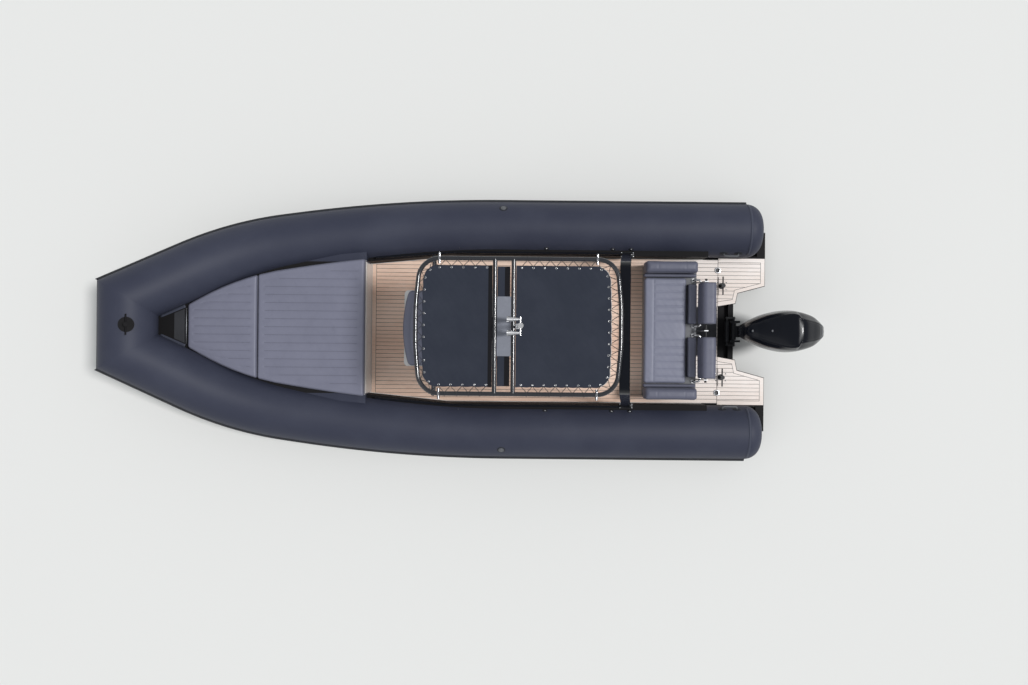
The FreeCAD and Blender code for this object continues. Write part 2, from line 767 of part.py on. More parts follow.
rail_route = route(
    (
        V(read("rail_aft"), trace[0].y - read("rail_inset"), RAIL_Z),
        V(3200, trace[0].y - read("rail_inset"), RAIL_Z),
        V(read("rail_front"), tube_at(read("rail_front")).y - read("rail_inset"), RAIL_Z),
    ),
    (1500,),
)
rail_trace = rail_route.discretize(Number=80)
foot_low = read("gunwale_top") + read("fit_gap")
RAIL_FEET = 7
feet = []
for i in range(RAIL_FEET):
    point = rail_trace[round((len(rail_trace) - 1) * (i + 0.15) / (RAIL_FEET - 0.7))]
    feet.append(Part.makeCylinder(8, RAIL_Z - foot_low, V(point.x, point.y, foot_low)))
    feet.append(Part.makeCylinder(14, 5, V(point.x, point.y, foot_low)))
rail = pipe(rail_route, read("rail_radius")).multiFuse(feet).removeSplitter()
side_rails = solid("side_rails", Part.makeCompound([rail, flip(rail)]))

# Console with a seat in front of it

DECK = "size.deck_top + size.fit_gap"
RAKE = "tan(size.wheel_rake * 1 deg)"
console_outer = pad(
    "console_outer",
    "XZ_Plane",
    (
        ("size.console_aft", "0"),
        ("size.console_front + size.front_seat_depth", "0"),
        ("size.console_front + size.front_seat_depth", "size.seat_base"),
        ("size.console_front", "size.seat_base"),
        ("size.console_front - 45", "size.console_height - 90"),
        ("size.console_front - 140", "size.console_height"),
        ("size.console_aft + 320", "size.console_height"),
        (f"size.console_aft + 190 * {RAKE}", "size.console_height - 160"),
        ("size.console_aft", "size.console_height - 350"),
    ),
    "2 * size.console_half",
    both=True,
)
soften(console_outer, "45", lambda middle, along: abs(along.y) < 0.1 and abs(along.z) > 0.2)
SEAT_SHELL_X = "size.console_front + size.front_seat_depth - size.console_wall"
console_inner = pad(
    "console_inner",
    "XZ_Plane",
    (
        ("size.console_aft + size.console_wall", "-10"),
        (SEAT_SHELL_X, "-10"),
        (SEAT_SHELL_X, "size.seat_base - size.console_wall"),
        ("size.console_front - size.console_wall", "size.seat_base - size.console_wall"),
        ("size.console_front - size.console_wall - 55", "size.console_height - size.console_wall - 60"),
        ("size.console_aft + 330", "size.console_height - size.console_wall - 60"),
        ("size.console_aft + size.console_wall + 45", "size.console_height - 215"),
        ("size.console_aft + size.console_wall", "size.console_height - 370"),
    ),
    "2 * size.console_half - 2 * size.console_wall",
    both=True,
)
DOOR_AFT = "size.console_aft + 140"
door_hole = box(
    "door_hole", "size.door_width - 40", "200", "size.door_height - 40",
    f"{DOOR_AFT} + 20", "size.console_half - 100", "size.door_low + 20",
)
console_shell = cut("console_shell", console_outer, fuse("console_space", [console_inner, door_hole]))
place(console_shell, z=DECK)

console_door = pad(
    "console_door",
    "XZ_Plane",
    (
        (DOOR_AFT, "size.door_low"),
        (f"{DOOR_AFT} + size.door_width", "size.door_low"),
        (f"{DOOR_AFT} + size.door_width", "size.door_low + size.door_height"),
        (DOOR_AFT, "size.door_low + size.door_height"),
    ),
    "12",
    both=True,
)
place(console_door, y="size.console_half + size.fit_gap + 6", z=DECK)


def crescent(x_mid, x_end, half, z, thickness):
    """A thin bowed strip in plan, closed at its ends."""
    outer = Part.Arc(V(x_end, -half, z), V(x_mid, 0, z), V(x_end, half, z)).toShape()
    inner = Part.Arc(
        V(x_end - thickness, half, z), V(x_mid - thickness, 0, z), V(x_end - thickness, -half, z)
    ).toShape()
    ends = [
        Part.LineSegment(V(x_end, half, z), V(x_end - thickness, half, z)).toShape(),
        Part.LineSegment(V(x_end - thickness, -half, z), V(x_end, -half, z)).toShape(),
    ]
    return Part.Wire([outer, ends[0], inner, ends[1]])


screen_foot = mm(DECK) + read("console_height") + read("fit_gap")
screen_top = screen_foot + read("screen_height")
screen_x = read("console_front") - 165
windscreen = solid(
    "windscreen",
    Part.makeLoft(
        [
            crescent(screen_x, screen_x - 85, 375, screen_foot, read("screen_thickness")),
            crescent(screen_x - 110, screen_x - 190, 330, screen_top, read("screen_thickness")),
        ],
        True,
        True,
    ),
)

dash_panel = doc.addObject("Part::Box", "dash_panel")
DASH_FALL = 160
console_top = mm(DECK) + read("console_height")
dash_low = V(mm(f"size.console_aft + 190 * {RAKE}"), 0, console_top - DASH_FALL)
dash_high = V(read("console_aft") + 320, 0, console_top)
dash_run = (dash_high - dash_low).normalize()
dash_out = V(-dash_run.z, 0, dash_run.x)
dash_panel.setExpression("Length", "230")
dash_panel.setExpression("Width", "size.console_half * 1.5")
dash_panel.Height = 8
dash_panel.Placement = FreeCAD.Placement(
    dash_low + dash_run * 30 + dash_out * read("fit_gap") - V(0, read("console_half") * 0.75, 0),
    FreeCAD.Rotation(dash_run, V(0, 1, 0), dash_out, "XYZ"),
)

# Steering wheel: rim, three spokes and a hub on a raked shaft

WHEEL_RAKE = math.radians(read("wheel_rake"))
wheel_axis = V(-math.cos(WHEEL_RAKE), 0, math.sin(WHEEL_RAKE))
wheel_seat = V(
    read("console_aft") + 95 * math.tan(WHEEL_RAKE), 0, mm(DECK) + read("console_height") - 255
)
WHEEL_OUT = 95
wheel_centre = wheel_seat + wheel_axis * WHEEL_OUT


def steering_wheel_shape():
    rim = Part.makeTorus(read("wheel_radius"), read("wheel_rim"))
    hub = Part.makeCylinder(38, 34, V(0, 0, -24))
    shaft = Part.makeCylinder(16, WHEEL_OUT - 24 - 0.4, V(0, 0, -WHEEL_OUT + 0.4))
    spokes = []
    for turn in (90, 210, 330):
        spoke = Part.makeBox(read("wheel_radius") - 6, 26, 7, V(0, -13, -10))
        spoke.rotate(V(0, 0, 0), V(0, 0, 1), turn)
        spokes.append(spoke)
    wheel = rim.multiFuse([hub, shaft] + spokes)
    wheel.Placement = FreeCAD.Placement(wheel_centre, FreeCAD.Rotation(V(0, 0, 1), wheel_axis))
    return wheel


steering_wheel = solid("steering_wheel", steering_wheel_shape())

throttle_base = box(
    "throttle_base", "80", "60", "46",
    "size.console_aft + 322", "-size.console_half + 60", f"{DECK} + size.console_height + size.fit_gap",
)
throttle_arm = rod(
    "throttle_arm", "z", "7", "100",
    "size.console_aft + 356", "-size.console_half + 90", f"{DECK} + size.console_height + 40",
)
throttle_knob = rod(
    "throttle_knob", "y", "15", "80",
    "size.console_aft + 356", "-size.console_half + 50", f"{DECK} + size.console_height + 138",
)
throttle = fuse("throttle", [throttle_base, throttle_arm, throttle_knob])


def cushion(label, x, y_half, z, length, thickness, round_by="24"):
    """A seat cushion centred on the boat's middle line."""
    body = pad(
        label,
        "XY_Plane",
        (("0", f"-({y_half})"), (length, f"-({y_half})"), (length, y_half), ("0", y_half)),
        thickness,
    )
    soften(body, round_by, lambda middle, along: True)
    return place(body, x, "0", z)


front_seat_cushion = cushion(
    "front_seat_cushion", "size.console_front + 4", "size.console_half - 6",
    f"{DECK} + size.seat_base + size.fit_gap", "size.front_seat_depth + 6", "size.cushion_thickness",
)

# Helm seat: a leaning post with a raised back

helm_seat_base = pad(
    "helm_seat_base",
    "XZ_Plane",
    (
        ("size.helm_aft", "0"),
        ("size.helm_front - 70", "0"),
        ("size.helm_front", "size.helm_height"),
        ("size.helm_aft + 30", "size.helm_height"),
        ("size.helm_aft + 30", "size.helm_height + 340"),
        ("size.helm_aft", "size.helm_height + 340"),
    ),
    "2 * size.helm_half",
    both=True,
)
soften(helm_seat_base, "12", lambda middle, along: abs(along.y) < 0.1 and abs(along.z) > 0.9)
place(helm_seat_base, z=DECK)
helm_seat_cushion = cushion(
    "helm_seat_cushion", "size.helm_aft + 100", "size.helm_half - 6",
    f"{DECK} + size.helm_height + size.fit_gap", "size.helm_front - size.helm_aft - 90",
    "size.cushion_thickness",
)
helm_backrest = cushion(
    "helm_backrest", "size.helm_aft + 30 + size.fit_gap", "size.helm_half - 16",
    f"{DECK} + size.helm_height + 40", "64", "300",
)

# T-top: a bowed ring of tube with two crossbars, carried by two legs and an arch

ROOF = f"{DECK} + size.roof_rise"
ROOF_Z = mm(ROOF)
ROOF_MID = (read("roof_aft") + read("roof_front")) / 2


def roof_point(x, y):
    return V(x, y, ROOF_Z)


bow_out = read("roof_bow_out")
roof_half = read("roof_half")
half_ring = pipe(
    route(
        (
            roof_point(read("roof_aft") - bow_out, 0),
            roof_point(read("roof_aft") - bow_out, 190),
            roof_point(read("roof_aft"), roof_half),
            roof_point(read("roof_front"), roof_half),
            roof_point(read("roof_front") + bow_out, 190),
            roof_point(read("roof_front") + bow_out, 0),
        ),
        (1600, read("roof_corner"), read("roof_corner"), 1600),
    ),
    read("roof_tube"),
)
roof_bars = [
    Part.makeCylinder(read("roof_tube"), 2 * roof_half, roof_point(x, -roof_half), V(0, 1, 0))
    for x in (read("crossbar_aft"), read("crossbar_front"))
]
LUGS = (
    # x, y
    (3250, 1),
    (3250, -1),
    (1771, 1),
    (1771, -1),
)
roof_lugs = [
    Part.makeCylinder(13, 100, roof_point(x, side * roof_half - 50), V(0, 1, 0)) for x, side in LUGS
]
roof_frame = solid(
    "roof_frame", half_ring.multiFuse([flip(half_ring)] + roof_bars + roof_lugs).removeSplitter()
)


def front_leg():
    foot = V(read("console_front") - 85, read("console_half") + 50, mm(DECK))
    knee = foot + V(0, 0, read("console_height") + 100)
    head = V(read("roof_front") - 130, roof_half, ROOF_Z)
    bar = pipe(route((foot, knee, head), (500,)), read("leg_radius"))
    base = Part.makeCylinder(46, 8, foot)
    clamp_low = V(foot.x - 30, read("console_half") + read("fit_gap"), foot.z + read("console_height") - 200)
    clamp = Part.makeBox(60, 52, 60, clamp_low)
    return bar.multiFuse([base, clamp]).cut(roof_frame.Shape)


leg_port = front_leg()
t_top_legs = solid("t_top_legs", Part.makeCompound([leg_port, flip(leg_port)]))


def aft_arch():
    """A flat section swept up one side, across and down the other."""
    foot_z = read("gunwale_top") + read("fit_gap")
    head_z = ROOF_Z - read("roof_tube") - read("fit_gap") - read("arch_thickness") / 2
    foot = V(read("arch_foot_x"), read("arch_foot_half"), foot_z)
    head = V(read("arch_head_x"), read("arch_head_half"), head_z)
    run = (head - foot).normalize()
    start = foot - run * 60
    path = route(
        (start, head, V(head.x, -head.y, head.z), V(start.x, -start.y, start.z)), (140, 140)
    )
    lean = V(head.x - foot.x, 0, head.z - foot.z).normalize()
    flat = V(0, 1, 0).cross(lean).normalize()
    thin = run.cross(flat).normalize()
    half_w = read("arch_width") / 2
    half_t = read("arch_thickness") / 2
    corners = [start + flat * a + thin * b for a, b in (
        (half_w, half_t), (-half_w, half_t), (-half_w, -half_t), (half_w, -half_t)
    )]
    section = Part.Face(Part.makePolygon(corners + corners[:1]))
    bar = path.makePipe(section)
    below = Part.makeBox(1000, 4000, 300, V(foot.x - 500, -2000, foot_z - 300))
    return bar.cut(below)


t_top_arch = solid("t_top_arch", aft_arch())

CANVASES = (
    # name, aft edge, front edge, end with the round corners, first tie from the aft edge
    ("canvas_aft", "size.canvas_aft", "size.canvas_mid_aft", -1, 171),
    ("canvas_front", "size.canvas_mid_front", "size.canvas_front", 1, 110),
)
for name, edge_aft, edge_front, end, _first_tie in CANVASES:
    panel = pad(
        name,
        "XY_Plane",
        (
            (edge_aft, "-size.canvas_half"),
            (edge_front, "-size.canvas_half"),
            (edge_front, "size.canvas_half"),
            (edge_aft, "size.canvas_half"),
        ),
        "size.canvas_thickness",
    )
    middle_x = (mm(edge_aft) + mm(edge_front)) / 2
    soften(
        panel,
        "size.canvas_corner",
        lambda middle, along: abs(along.z) > 0.9 and (middle.x - middle_x) * end > 0,
    )
    place(panel, z=f"{ROOF} - size.canvas_thickness / 2")

TIE_RADIUS = 3
TIE_PITCH = 110


def canvas_ties():
    """Lacing from the canvas edges to the tubes, as straight runs."""
    ties = []
    reach = roof_half - read("roof_tube") - read("canvas_half") - 2 * read("fit_gap")
    for _name, edge_aft, edge_front, end, first_tie in CANVASES:
        run = mm(edge_front) - mm(edge_aft) - first_tie
        count = int((run - (read("canvas_corner") if end > 0 else 0)) / TIE_PITCH) + 1
        for i in range(count):
            x = mm(edge_aft) + first_tie + i * TIE_PITCH
            y = read("canvas_half") + read("fit_gap")
            ties.append(Part.makeCylinder(TIE_RADIUS, reach, roof_point(x, y), V(0, 1, 0)))
            ties.append(Part.makeCylinder(TIE_RADIUS, reach, roof_point(x, -y), V(0, -1, 0)))
    return ties


lacing = solid("lacing", Part.makeCompound(canvas_ties()))

roof_plate = box(
    "roof_plate",
    "size.crossbar_front - size.crossbar_aft - 2 * size.roof_tube - 2 * size.fit_gap",
    "558", "8", "size.crossbar_aft + size.roof_tube + size.fit_gap", "-279", f"{ROOF} - 4",
)

MAST_X = 2490


def mast_shape():
    foot = ROOF_Z + 12
    post = Part.makeCylinder(11, 400, V(MAST_X, 0, foot))
    bracket = Part.makeBox(60, 50, 10, V(MAST_X - 15, -25, ROOF_Z + 10))
    saddle_radius = read("roof_tube") + read("fit_gap")
    saddle = Part.makeCylinder(saddle_radius, 200, roof_point(read("crossbar_aft"), -100), V(0, 1, 0))
    bracket = bracket.cut(saddle)
    lamp = Part.makeCylinder(26, 46, V(MAST_X, 0, foot + 380))
    cap = Part.makeCone(26, 16, 14, V(MAST_X, 0, foot + 426))
    yoke = Part.makeCylinder(9, 170, V(MAST_X, -85, foot + 170), V(0, 1, 0))
    horns = [Part.makeCone(12, 30, 120, V(MAST_X + 5, y, foot + 170), V(1, 0, 0)) for y in (-62, 62)]
    return post.multiFuse([bracket, lamp, cap, yoke] + horns)


mast_light = solid("mast_light", mast_shape())

# Stern bench with armrests and a locker under its seat

bench_outer = pad(
    "bench_outer",
    "XY_Plane",
    (
        ("size.bench_aft", "-size.armrest_outer"),
        ("size.bench_front", "-size.armrest_outer"),
        ("size.bench_front", "size.armrest_outer"),
        ("size.bench_aft", "size.armrest_outer"),
    ),
    "size.seat_base",
)
soften(bench_outer, "40", upright)
bench_space = pad(
    "bench_space",
    "XY_Plane",
    (
        ("size.bench_pad_aft + size.bench_wall", "-size.bench_pad_half + 2 * size.bench_wall"),
        ("size.bench_front - size.bench_wall", "-size.bench_pad_half + 2 * size.bench_wall"),
        ("size.bench_front - size.bench_wall", "size.bench_pad_half - 2 * size.bench_wall"),
        ("size.bench_pad_aft + size.bench_wall", "size.bench_pad_half - 2 * size.bench_wall"),
    ),
    "size.seat_base",
)
place(bench_space, z="size.bench_wall")
bench_base = cut("bench_base", bench_outer, bench_space)
place(bench_base, z=DECK)
BENCH_TOP = f"{DECK} + size.seat_base + size.fit_gap"
bench_lid = box(
    "bench_lid", "size.bench_front - size.bench_pad_aft", "2 * size.bench_pad_half - 20",
    "size.lid_thickness", "size.bench_pad_aft", "-size.bench_pad_half + 10", BENCH_TOP,
)
bench_cushion = cushion(
    "bench_cushion", "size.bench_pad_aft", "size.bench_pad_half",
    f"{BENCH_TOP} + size.lid_thickness + size.fit_gap",
    "size.bench_pad_front - size.bench_pad_aft", "size.cushion_thickness - size.lid_thickness",
)
ARM_LENGTH = "size.bench_front - size.bench_aft + 30"
ARM_AFT = "size.bench_aft + 15"


def armrest(label, side):
    """A tall bolster with a low ledge beside the cushion."""
    bolster = pad(
        f"{label}_bolster",
        "XY_Plane",
        (("0", "0"), (ARM_LENGTH, "0"), (ARM_LENGTH, "size.armrest_width"), ("0", "size.armrest_width")),
        "size.armrest_top - size.seat_base",
    )
    soften(bolster, "28", lambda middle, along: True)
    inner = "size.armrest_outer - size.armrest_width"
    place(bolster, ARM_AFT, inner if side > 0 else "-size.armrest_outer", BENCH_TOP)
    ledge_inner = "size.bench_pad_half + size.run_gap"
    ledge_outer = "size.armrest_outer - size.armrest_width + 30"
    ledge = box(
        f"{label}_ledge", ARM_LENGTH, f"{ledge_outer} - ({ledge_inner})", "size.cushion_thickness",
        ARM_AFT, ledge_inner if side > 0 else f"-({ledge_outer})", BENCH_TOP,
    )
    return fuse(label, [bolster, ledge])


armrests = fuse("armrests", [armrest("armrest_port", 1), armrest("armrest_starboard", -1)])

REAR_PAD_DEPTH = "size.bench_pad_aft - size.bench_aft - 27"
rear_pad_port = pad(
    "rear_pad_port",
    "XY_Plane",
    (("0", "0"), (REAR_PAD_DEPTH, "0"), (REAR_PAD_DEPTH, "size.block_length"), ("0", "size.block_length")),
    "size.cushion_thickness",
)
soften(rear_pad_port, "18", lambda middle, along: True)
place(rear_pad_port, "size.bench_aft + 7", "size.block_inner", BENCH_TOP)
rear_pads = fuse("rear_pads", [rear_pad_port, mirror("rear_pad_starboard", rear_pad_port)])

# Backrest blocks that turn on one shaft behind the bench

PIVOT_X = "size.block_aft + size.block_depth / 2"
PIVOT_Z = f"{DECK} + size.block_low + size.block_pivot_rise"
for name, side in (("port", 1), ("starboard", -1)):
    near = "size.block_inner" if side > 0 else "-size.block_inner - size.block_length"
    block = pad(
        f"block_{name}_full",
        "XY_Plane",
        (
            ("0", "0"),
            ("size.block_depth", "0"),
            ("size.block_depth", "size.block_length"),
            ("0", "size.block_length"),
        ),
        "size.block_high - size.block_low",
    )
    soften(block, "30", lambda middle, along: True)
    place(block, "size.block_aft", near, f"{DECK} + size.block_low")
    bore = rod(
        f"block_{name}_bore", "y", "size.shaft_radius + size.fit_gap", "size.block_length + 40",
        PIVOT_X, f"{near} - 20", PIVOT_Z,
    )
    cut(f"backrest_{name}", block, bore)

FRAME_Y = "size.block_inner + size.block_length + 20"
frame_shaft = rod(
    "frame_shaft", "y", "size.shaft_radius", f"2 * ({FRAME_Y}) + 60", PIVOT_X, f"-({FRAME_Y}) - 30", PIVOT_Z,
)


def frame_plate(name, y):
    """A bent arm from the bench's aft face up to the shaft."""
    arm = pad(
        f"frame_plate_{name}",
        "XZ_Plane",
        (
            (f"{PIVOT_X} - 22", f"{PIVOT_Z} + 22"),
            (f"{PIVOT_X} - 22", f"{PIVOT_Z} - 60"),
            ("size.bench_aft - 46", f"{DECK} + 200"),
            ("size.bench_aft - size.fit_gap", f"{DECK} + 200"),
            ("size.bench_aft - size.fit_gap", f"{DECK} + 330"),
            (f"{PIVOT_X} + 22", f"{PIVOT_Z} - 40"),
            (f"{PIVOT_X} + 22", f"{PIVOT_Z} + 22"),
        ),
        "10",
        both=True,
    )
    return place(arm, y=y)


def backrest_hoop():
    """A bent tube behind the rear pads, from the bench top by the armrest to the middle."""
    low = mm(BENCH_TOP)
    high = low + 58
    front = read("bench_aft") + 36
    back = read("bench_aft") - 36
    outer = read("block_inner") + read("block_length") + 45
    inner = 50
    corners = (
        V(front, outer, low), V(front, outer, high), V(back, outer, high),
        V(back, inner, high), V(front, inner, high), V(front, inner, low),
    )
    feet = [Part.makeCylinder(20, 4, V(front, y, low)) for y in (outer, inner)]
    return pipe(route(corners, (30, 30, 30, 30)), 11).multiFuse(feet)


hoop_port = solid("hoop_port", backrest_hoop())
backrest_frame = fuse(
    "backrest_frame",
    [
        hoop_port,
        mirror("hoop_starboard", hoop_port),
        frame_shaft,
        frame_plate("port", FRAME_Y),
        frame_plate("middle", "0"),
        frame_plate("starboard", f"-({FRAME_Y})"),
    ],
)

# Outboard: clamp bracket, swivel, steered engine and propeller

TILT_X = read("tilt_x")
TILT_Z = read("tilt_z")
STEER_X = read("steer_x")
PLATE_INNER = 100
PLATE_THICK = 22
clamp_side = (
    ("75", "size.tilt_z + 30"),
    ("75", f"{SOLE} + size.fit_gap"),
    ("-size.fit_gap", f"{SOLE} + size.fit_gap"),
    ("-size.fit_gap", "-180"),
    ("-50", "-180"),
    ("-78", "120"),
    ("-40", "size.tilt_z + 30"),
)
clamp_pieces = []
for name, side in (("port", 1), ("starboard", -1)):
    plate = pad(f"clamp_{name}", "XZ_Plane", clamp_side, f"{PLATE_THICK}", both=True)
    clamp_pieces.append(place(plate, y=f"{side * (PLATE_INNER + PLATE_THICK / 2)}"))
tilt_tube = rod("tilt_tube", "y", "17", "340", "size.tilt_x", "-170", "size.tilt_z")
clamp_foot = box("clamp_foot", "14", "200", "110", "-14 - size.fit_gap", "-100", "-170")
clamp_bracket = fuse("clamp_bracket", clamp_pieces + [tilt_tube, clamp_foot])


def swivel_shape():
    hub = Part.makeCylinder(32, 188, V(TILT_X, -94, TILT_Z), V(0, 1, 0))
    arm = Part.makeBox(TILT_X - STEER_X, 130, 70, V(STEER_X, -65, TILT_Z - 30))
    barrel = Part.makeCylinder(46, 400, V(STEER_X, 0, 70))
    web = closed_line(
        (STEER_X, -18, 90), (STEER_X + 60, -18, 100), (STEER_X + 90, -18, 315), (STEER_X, -18, 315)
    )
    rib = Part.Face(web).extrude(V(0, 36, 0))
    body = hub.multiFuse([arm, barrel, rib])
    tube_bore = Part.makeCylinder(17.3, 400, V(TILT_X, -200, TILT_Z), V(0, 1, 0))
    steer_bore = Part.makeCylinder(22.3, 600, V(STEER_X, 0, 0))
    return body.cut(tube_bore).cut(steer_bore).removeSplitter()


swivel_bracket = solid("swivel_bracket", swivel_shape())


def steering_cylinder_shape():
    """Hydraulic cylinder ahead of the tilt tube, held by an arm at each end."""
    z = TILT_Z + 18
    x = TILT_X + 80
    body = Part.makeCylinder(24, 230, V(x, -115, z), V(0, 1, 0))
    ram = Part.makeCylinder(9, 330, V(x, -165, z), V(0, 1, 0))
    arms = []
    for y in (-163, 150):
        arm = Part.makeBox(100, 13, 34, V(TILT_X - 8, y, z - 20))
        eye = Part.makeCylinder(22, 13, V(TILT_X, y, TILT_Z), V(0, 1, 0))
        arms += [arm, eye]
    shape = body.multiFuse([ram] + arms)
    return shape.cut(Part.makeCylinder(17.3, 500, V(TILT_X, -250, TILT_Z), V(0, 1, 0)))


# Cowl and pan, by stations along the engine: x, then for the cowl's section the
# half widths at its foot, waist, shoulder and top edge, the heights of shoulder
# and top, and the pan's lower half width and its height.
COWL_STATIONS = (
    # x, foot, waist, shoulder, top edge, shoulder z, top z, pan half, pan z
    (50, 58, 72, 66, 40, 900, 985, 36, 605),
    (-60, 104, 136, 126, 84, 962, 1056, 80, 566),
    (-200, 150, 190, 180, 134, 1034, 1142, 118, 540),
    (-400, 182, 228, 214, 176, 1092, 1240, 134, 540),
    (-455, 182, 225, 202, 122, 1092, 1250, 132, 540),
    (-640, 150, 186, 162, 96, 1012, 1128, 100, 556),
    (-810, 70, 84, 72, 48, 884, 945, 40, 610),
)
COWL_WAIST = 790


def half_ring_wire(x, half):
    """A closed section across the boat from its port half, given from low to high."""
    port = [V(x, y, z) for y, z in half]
    starboard = [V(x, -y, z) for y, z in reversed(half)]
    ring = port + starboard
    return Part.makePolygon(ring + ring[:1])


def cowl_solid(inset):
    """The cowl's form, drawn in all round and left open below for its inside."""
    rings = []
    low = read("cowl_low") - inset
    ends = (COWL_STATIONS[0][0], COWL_STATIONS[-1][0])
    for x, foot, waist, shoulder, top, shoulder_z, top_z, _pan_half, _pan_z in COWL_STATIONS:
        pull = -inset if x == ends[0] else inset if x == ends[1] else 0
        rings.append(half_ring_wire(x + pull, (
            (foot - inset, low),
            (waist - inset, COWL_WAIST),
            (shoulder - inset, shoulder_z - inset / 2),
            (top - inset, top_z - inset),
        )))
    return Part.makeLoft(rings, True, True)


cowl_outer = cowl_solid(0)
cowl = solid("cowl", cowl_outer.cut(cowl_solid(read("cowl_wall"))))
powerhead = box("powerhead", "400", "270", "330", "-600", "-135", "size.cowl_low + size.fit_gap")


def pan_shape():
    high = read("cowl_low") - read("fit_gap")
    rings = [
        half_ring_wire(row[0], ((row[7], row[8]), (row[1], high))) for row in COWL_STATIONS
    ]
    form = Part.makeLoft(rings, True, True)
    keep = Part.makeBox(2000, 1000, 200, V(-1500, -500, high - 99))
    return form.common(keep)


def leg_section(z, front, aft, half):
    """A streamlined section: round nose, straight flanks, thin trailing edge."""
    nose = front - half * 1.2
    edges = [
        Part.Arc(V(nose, -half, z), V(front, 0, z), V(nose, half, z)).toShape(),
        Part.LineSegment(V(nose, half, z), V(aft, half * 0.25, z)).toShape(),
        Part.LineSegment(V(aft, half * 0.25, z), V(aft, -half * 0.25, z)).toShape(),
        Part.LineSegment(V(aft, -half * 0.25, z), V(nose, -half, z)).toShape(),
    ]
    return Part.Wire(edges)


PLATE_Z = read("plate_z")
SHAFT_Z = read("shaft_z")
MID_SECTIONS = (
    # z, front, aft, half width
    (read("cowl_low") - 101, -222, -560, 120),
    (220, -224, -500, 92),
    (-120, -226, -455, 66),
    (PLATE_Z + 6, -236, -440, 52),
)
pan = pan_shape()


def midsection_shape():
    leg = Part.makeLoft([leg_section(*row) for row in MID_SECTIONS], True, True)
    upper = Part.makeBox(120, 90, 50, V(STEER_X - 120, -45, 478))
    upper_eye = Part.makeCylinder(45, 50, V(STEER_X, 0, 478))
    lower = Part.makeBox(120, 80, 40, V(STEER_X - 120, -40, 22))
    lower_eye = Part.makeCylinder(45, 40, V(STEER_X, 0, 22))
    shaft = Part.makeCylinder(22, 506, V(STEER_X, 0, 22))
    neck = Part.makeBox(130, 150, 20, V(STEER_X - 230, -75, 520))
    return leg.multiFuse([upper, upper_eye, lower, lower_eye, shaft, neck])


midsection = solid("midsection", midsection_shape())
lower_cowl = solid("lower_cowl", pan)


def gearcase_shape():
    radius = read("torpedo_radius")
    tail = read("propeller_x") + 48 + read("hub_gap")
    strut = Part.makeLoft(
        [leg_section(PLATE_Z - 6, -236, -455, 50), leg_section(SHAFT_Z, -252, -430, 26)], True, True
    )
    barrel = Part.makeCylinder(radius, -290 - tail, V(tail, 0, SHAFT_Z), V(1, 0, 0))
    nose = Part.makeCone(radius, radius * 0.25, 90, V(-290, 0, SHAFT_Z), V(1, 0, 0))
    plate = Part.makeBox(470, 240, 12, V(-650, -120, PLATE_Z - 6))
    corners = [e for e in plate.Edges if e.BoundBox.ZLength > 5]
    plate = plate.makeFillet(60, corners)
    low = read("skeg_low")
    high = SHAFT_Z - 20
    fin = closed_line((-300, -6, high), (-470, -6, high), (-520, -6, low + 20), (-455, -6, low))
    skeg = Part.Face(fin).extrude(V(0, 12, 0))
    shaft = Part.makeCylinder(12, 130, V(tail - 126, 0, SHAFT_Z), V(1, 0, 0))
    nut = Part.makeCylinder(17, 14, V(tail - 126, 0, SHAFT_Z), V(1, 0, 0))
    return strut.multiFuse([barrel, nose, plate, skeg, shaft, nut])


gearcase = solid("gearcase", gearcase_shape().cut(midsection.Shape))
BLADES = 3


def propeller_shape():
    x = read("propeller_x")
    hub = Part.makeCone(38, 50, 100, V(x - 52, 0, SHAFT_Z), V(1, 0, 0))
    blades = []
    for i in range(BLADES):
        tip_z = read("propeller_radius") - 2
        root = closed_line((-38, -5, 30), (38, -5, 30), (38, 5, 30), (-38, 5, 30))
        belly = closed_line((-72, -4, 110), (72, -4, 110), (72, 4, 110), (-72, 4, 110))
        tip = closed_line((-34, -2, tip_z), (34, -2, tip_z), (34, 2, tip_z), (-34, 2, tip_z))
        for wire, twist in ((root, 62), (belly, 42), (tip, 28)):
            wire.rotate(V(0, 0, 0), V(0, 0, 1), twist)
        blade = Part.makeLoft([root, belly, tip], True, True)
        blade.rotate(V(0, 0, 0), V(1, 0, 0), 360 * i / BLADES)
        blade.translate(V(x, 0, SHAFT_Z))
        blades.append(blade)
    bore = Part.makeCylinder(12.3, 300, V(x - 150, 0, SHAFT_Z), V(1, 0, 0))
    return hub.multiFuse(blades).cut(bore)


propeller = solid("propeller", propeller_shape())
steering_cylinder = solid("steering_cylinder", steering_cylinder_shape())

# Each node and its file

NODES = (
    "hull_bottom", "deck_moulding", "gunwales", "teak_sole", "teak_platforms",
    "collar_port", "collar_starboard", "collar_bow", "rubbing_strake", "side_rails",
    "bow_lid_rear", "bow_cushion_rear", "bow_lid_front", "bow_cushion_front",
    "anchor_lid", "bow_post", "bow_eye", "stern_bollards", "stern_eyes",
    "console_shell", "console_door", "windscreen", "dash_panel", "steering_wheel", "throttle",
    "front_seat_cushion", "helm_seat_base", "helm_seat_cushion", "helm_backrest",
    "roof_frame", "t_top_legs", "t_top_arch", "canvas_aft", "canvas_front", "lacing", "roof_plate",
    "mast_light",
    "bench_base", "bench_lid", "bench_cushion", "armrests", "rear_pads",
    "backrest_port", "backrest_starboard", "backrest_frame",
    "clamp_bracket", "swivel_bracket", "steering_cylinder", "cowl", "powerhead", "lower_cowl",
    "midsection", "gearcase", "propeller",
)

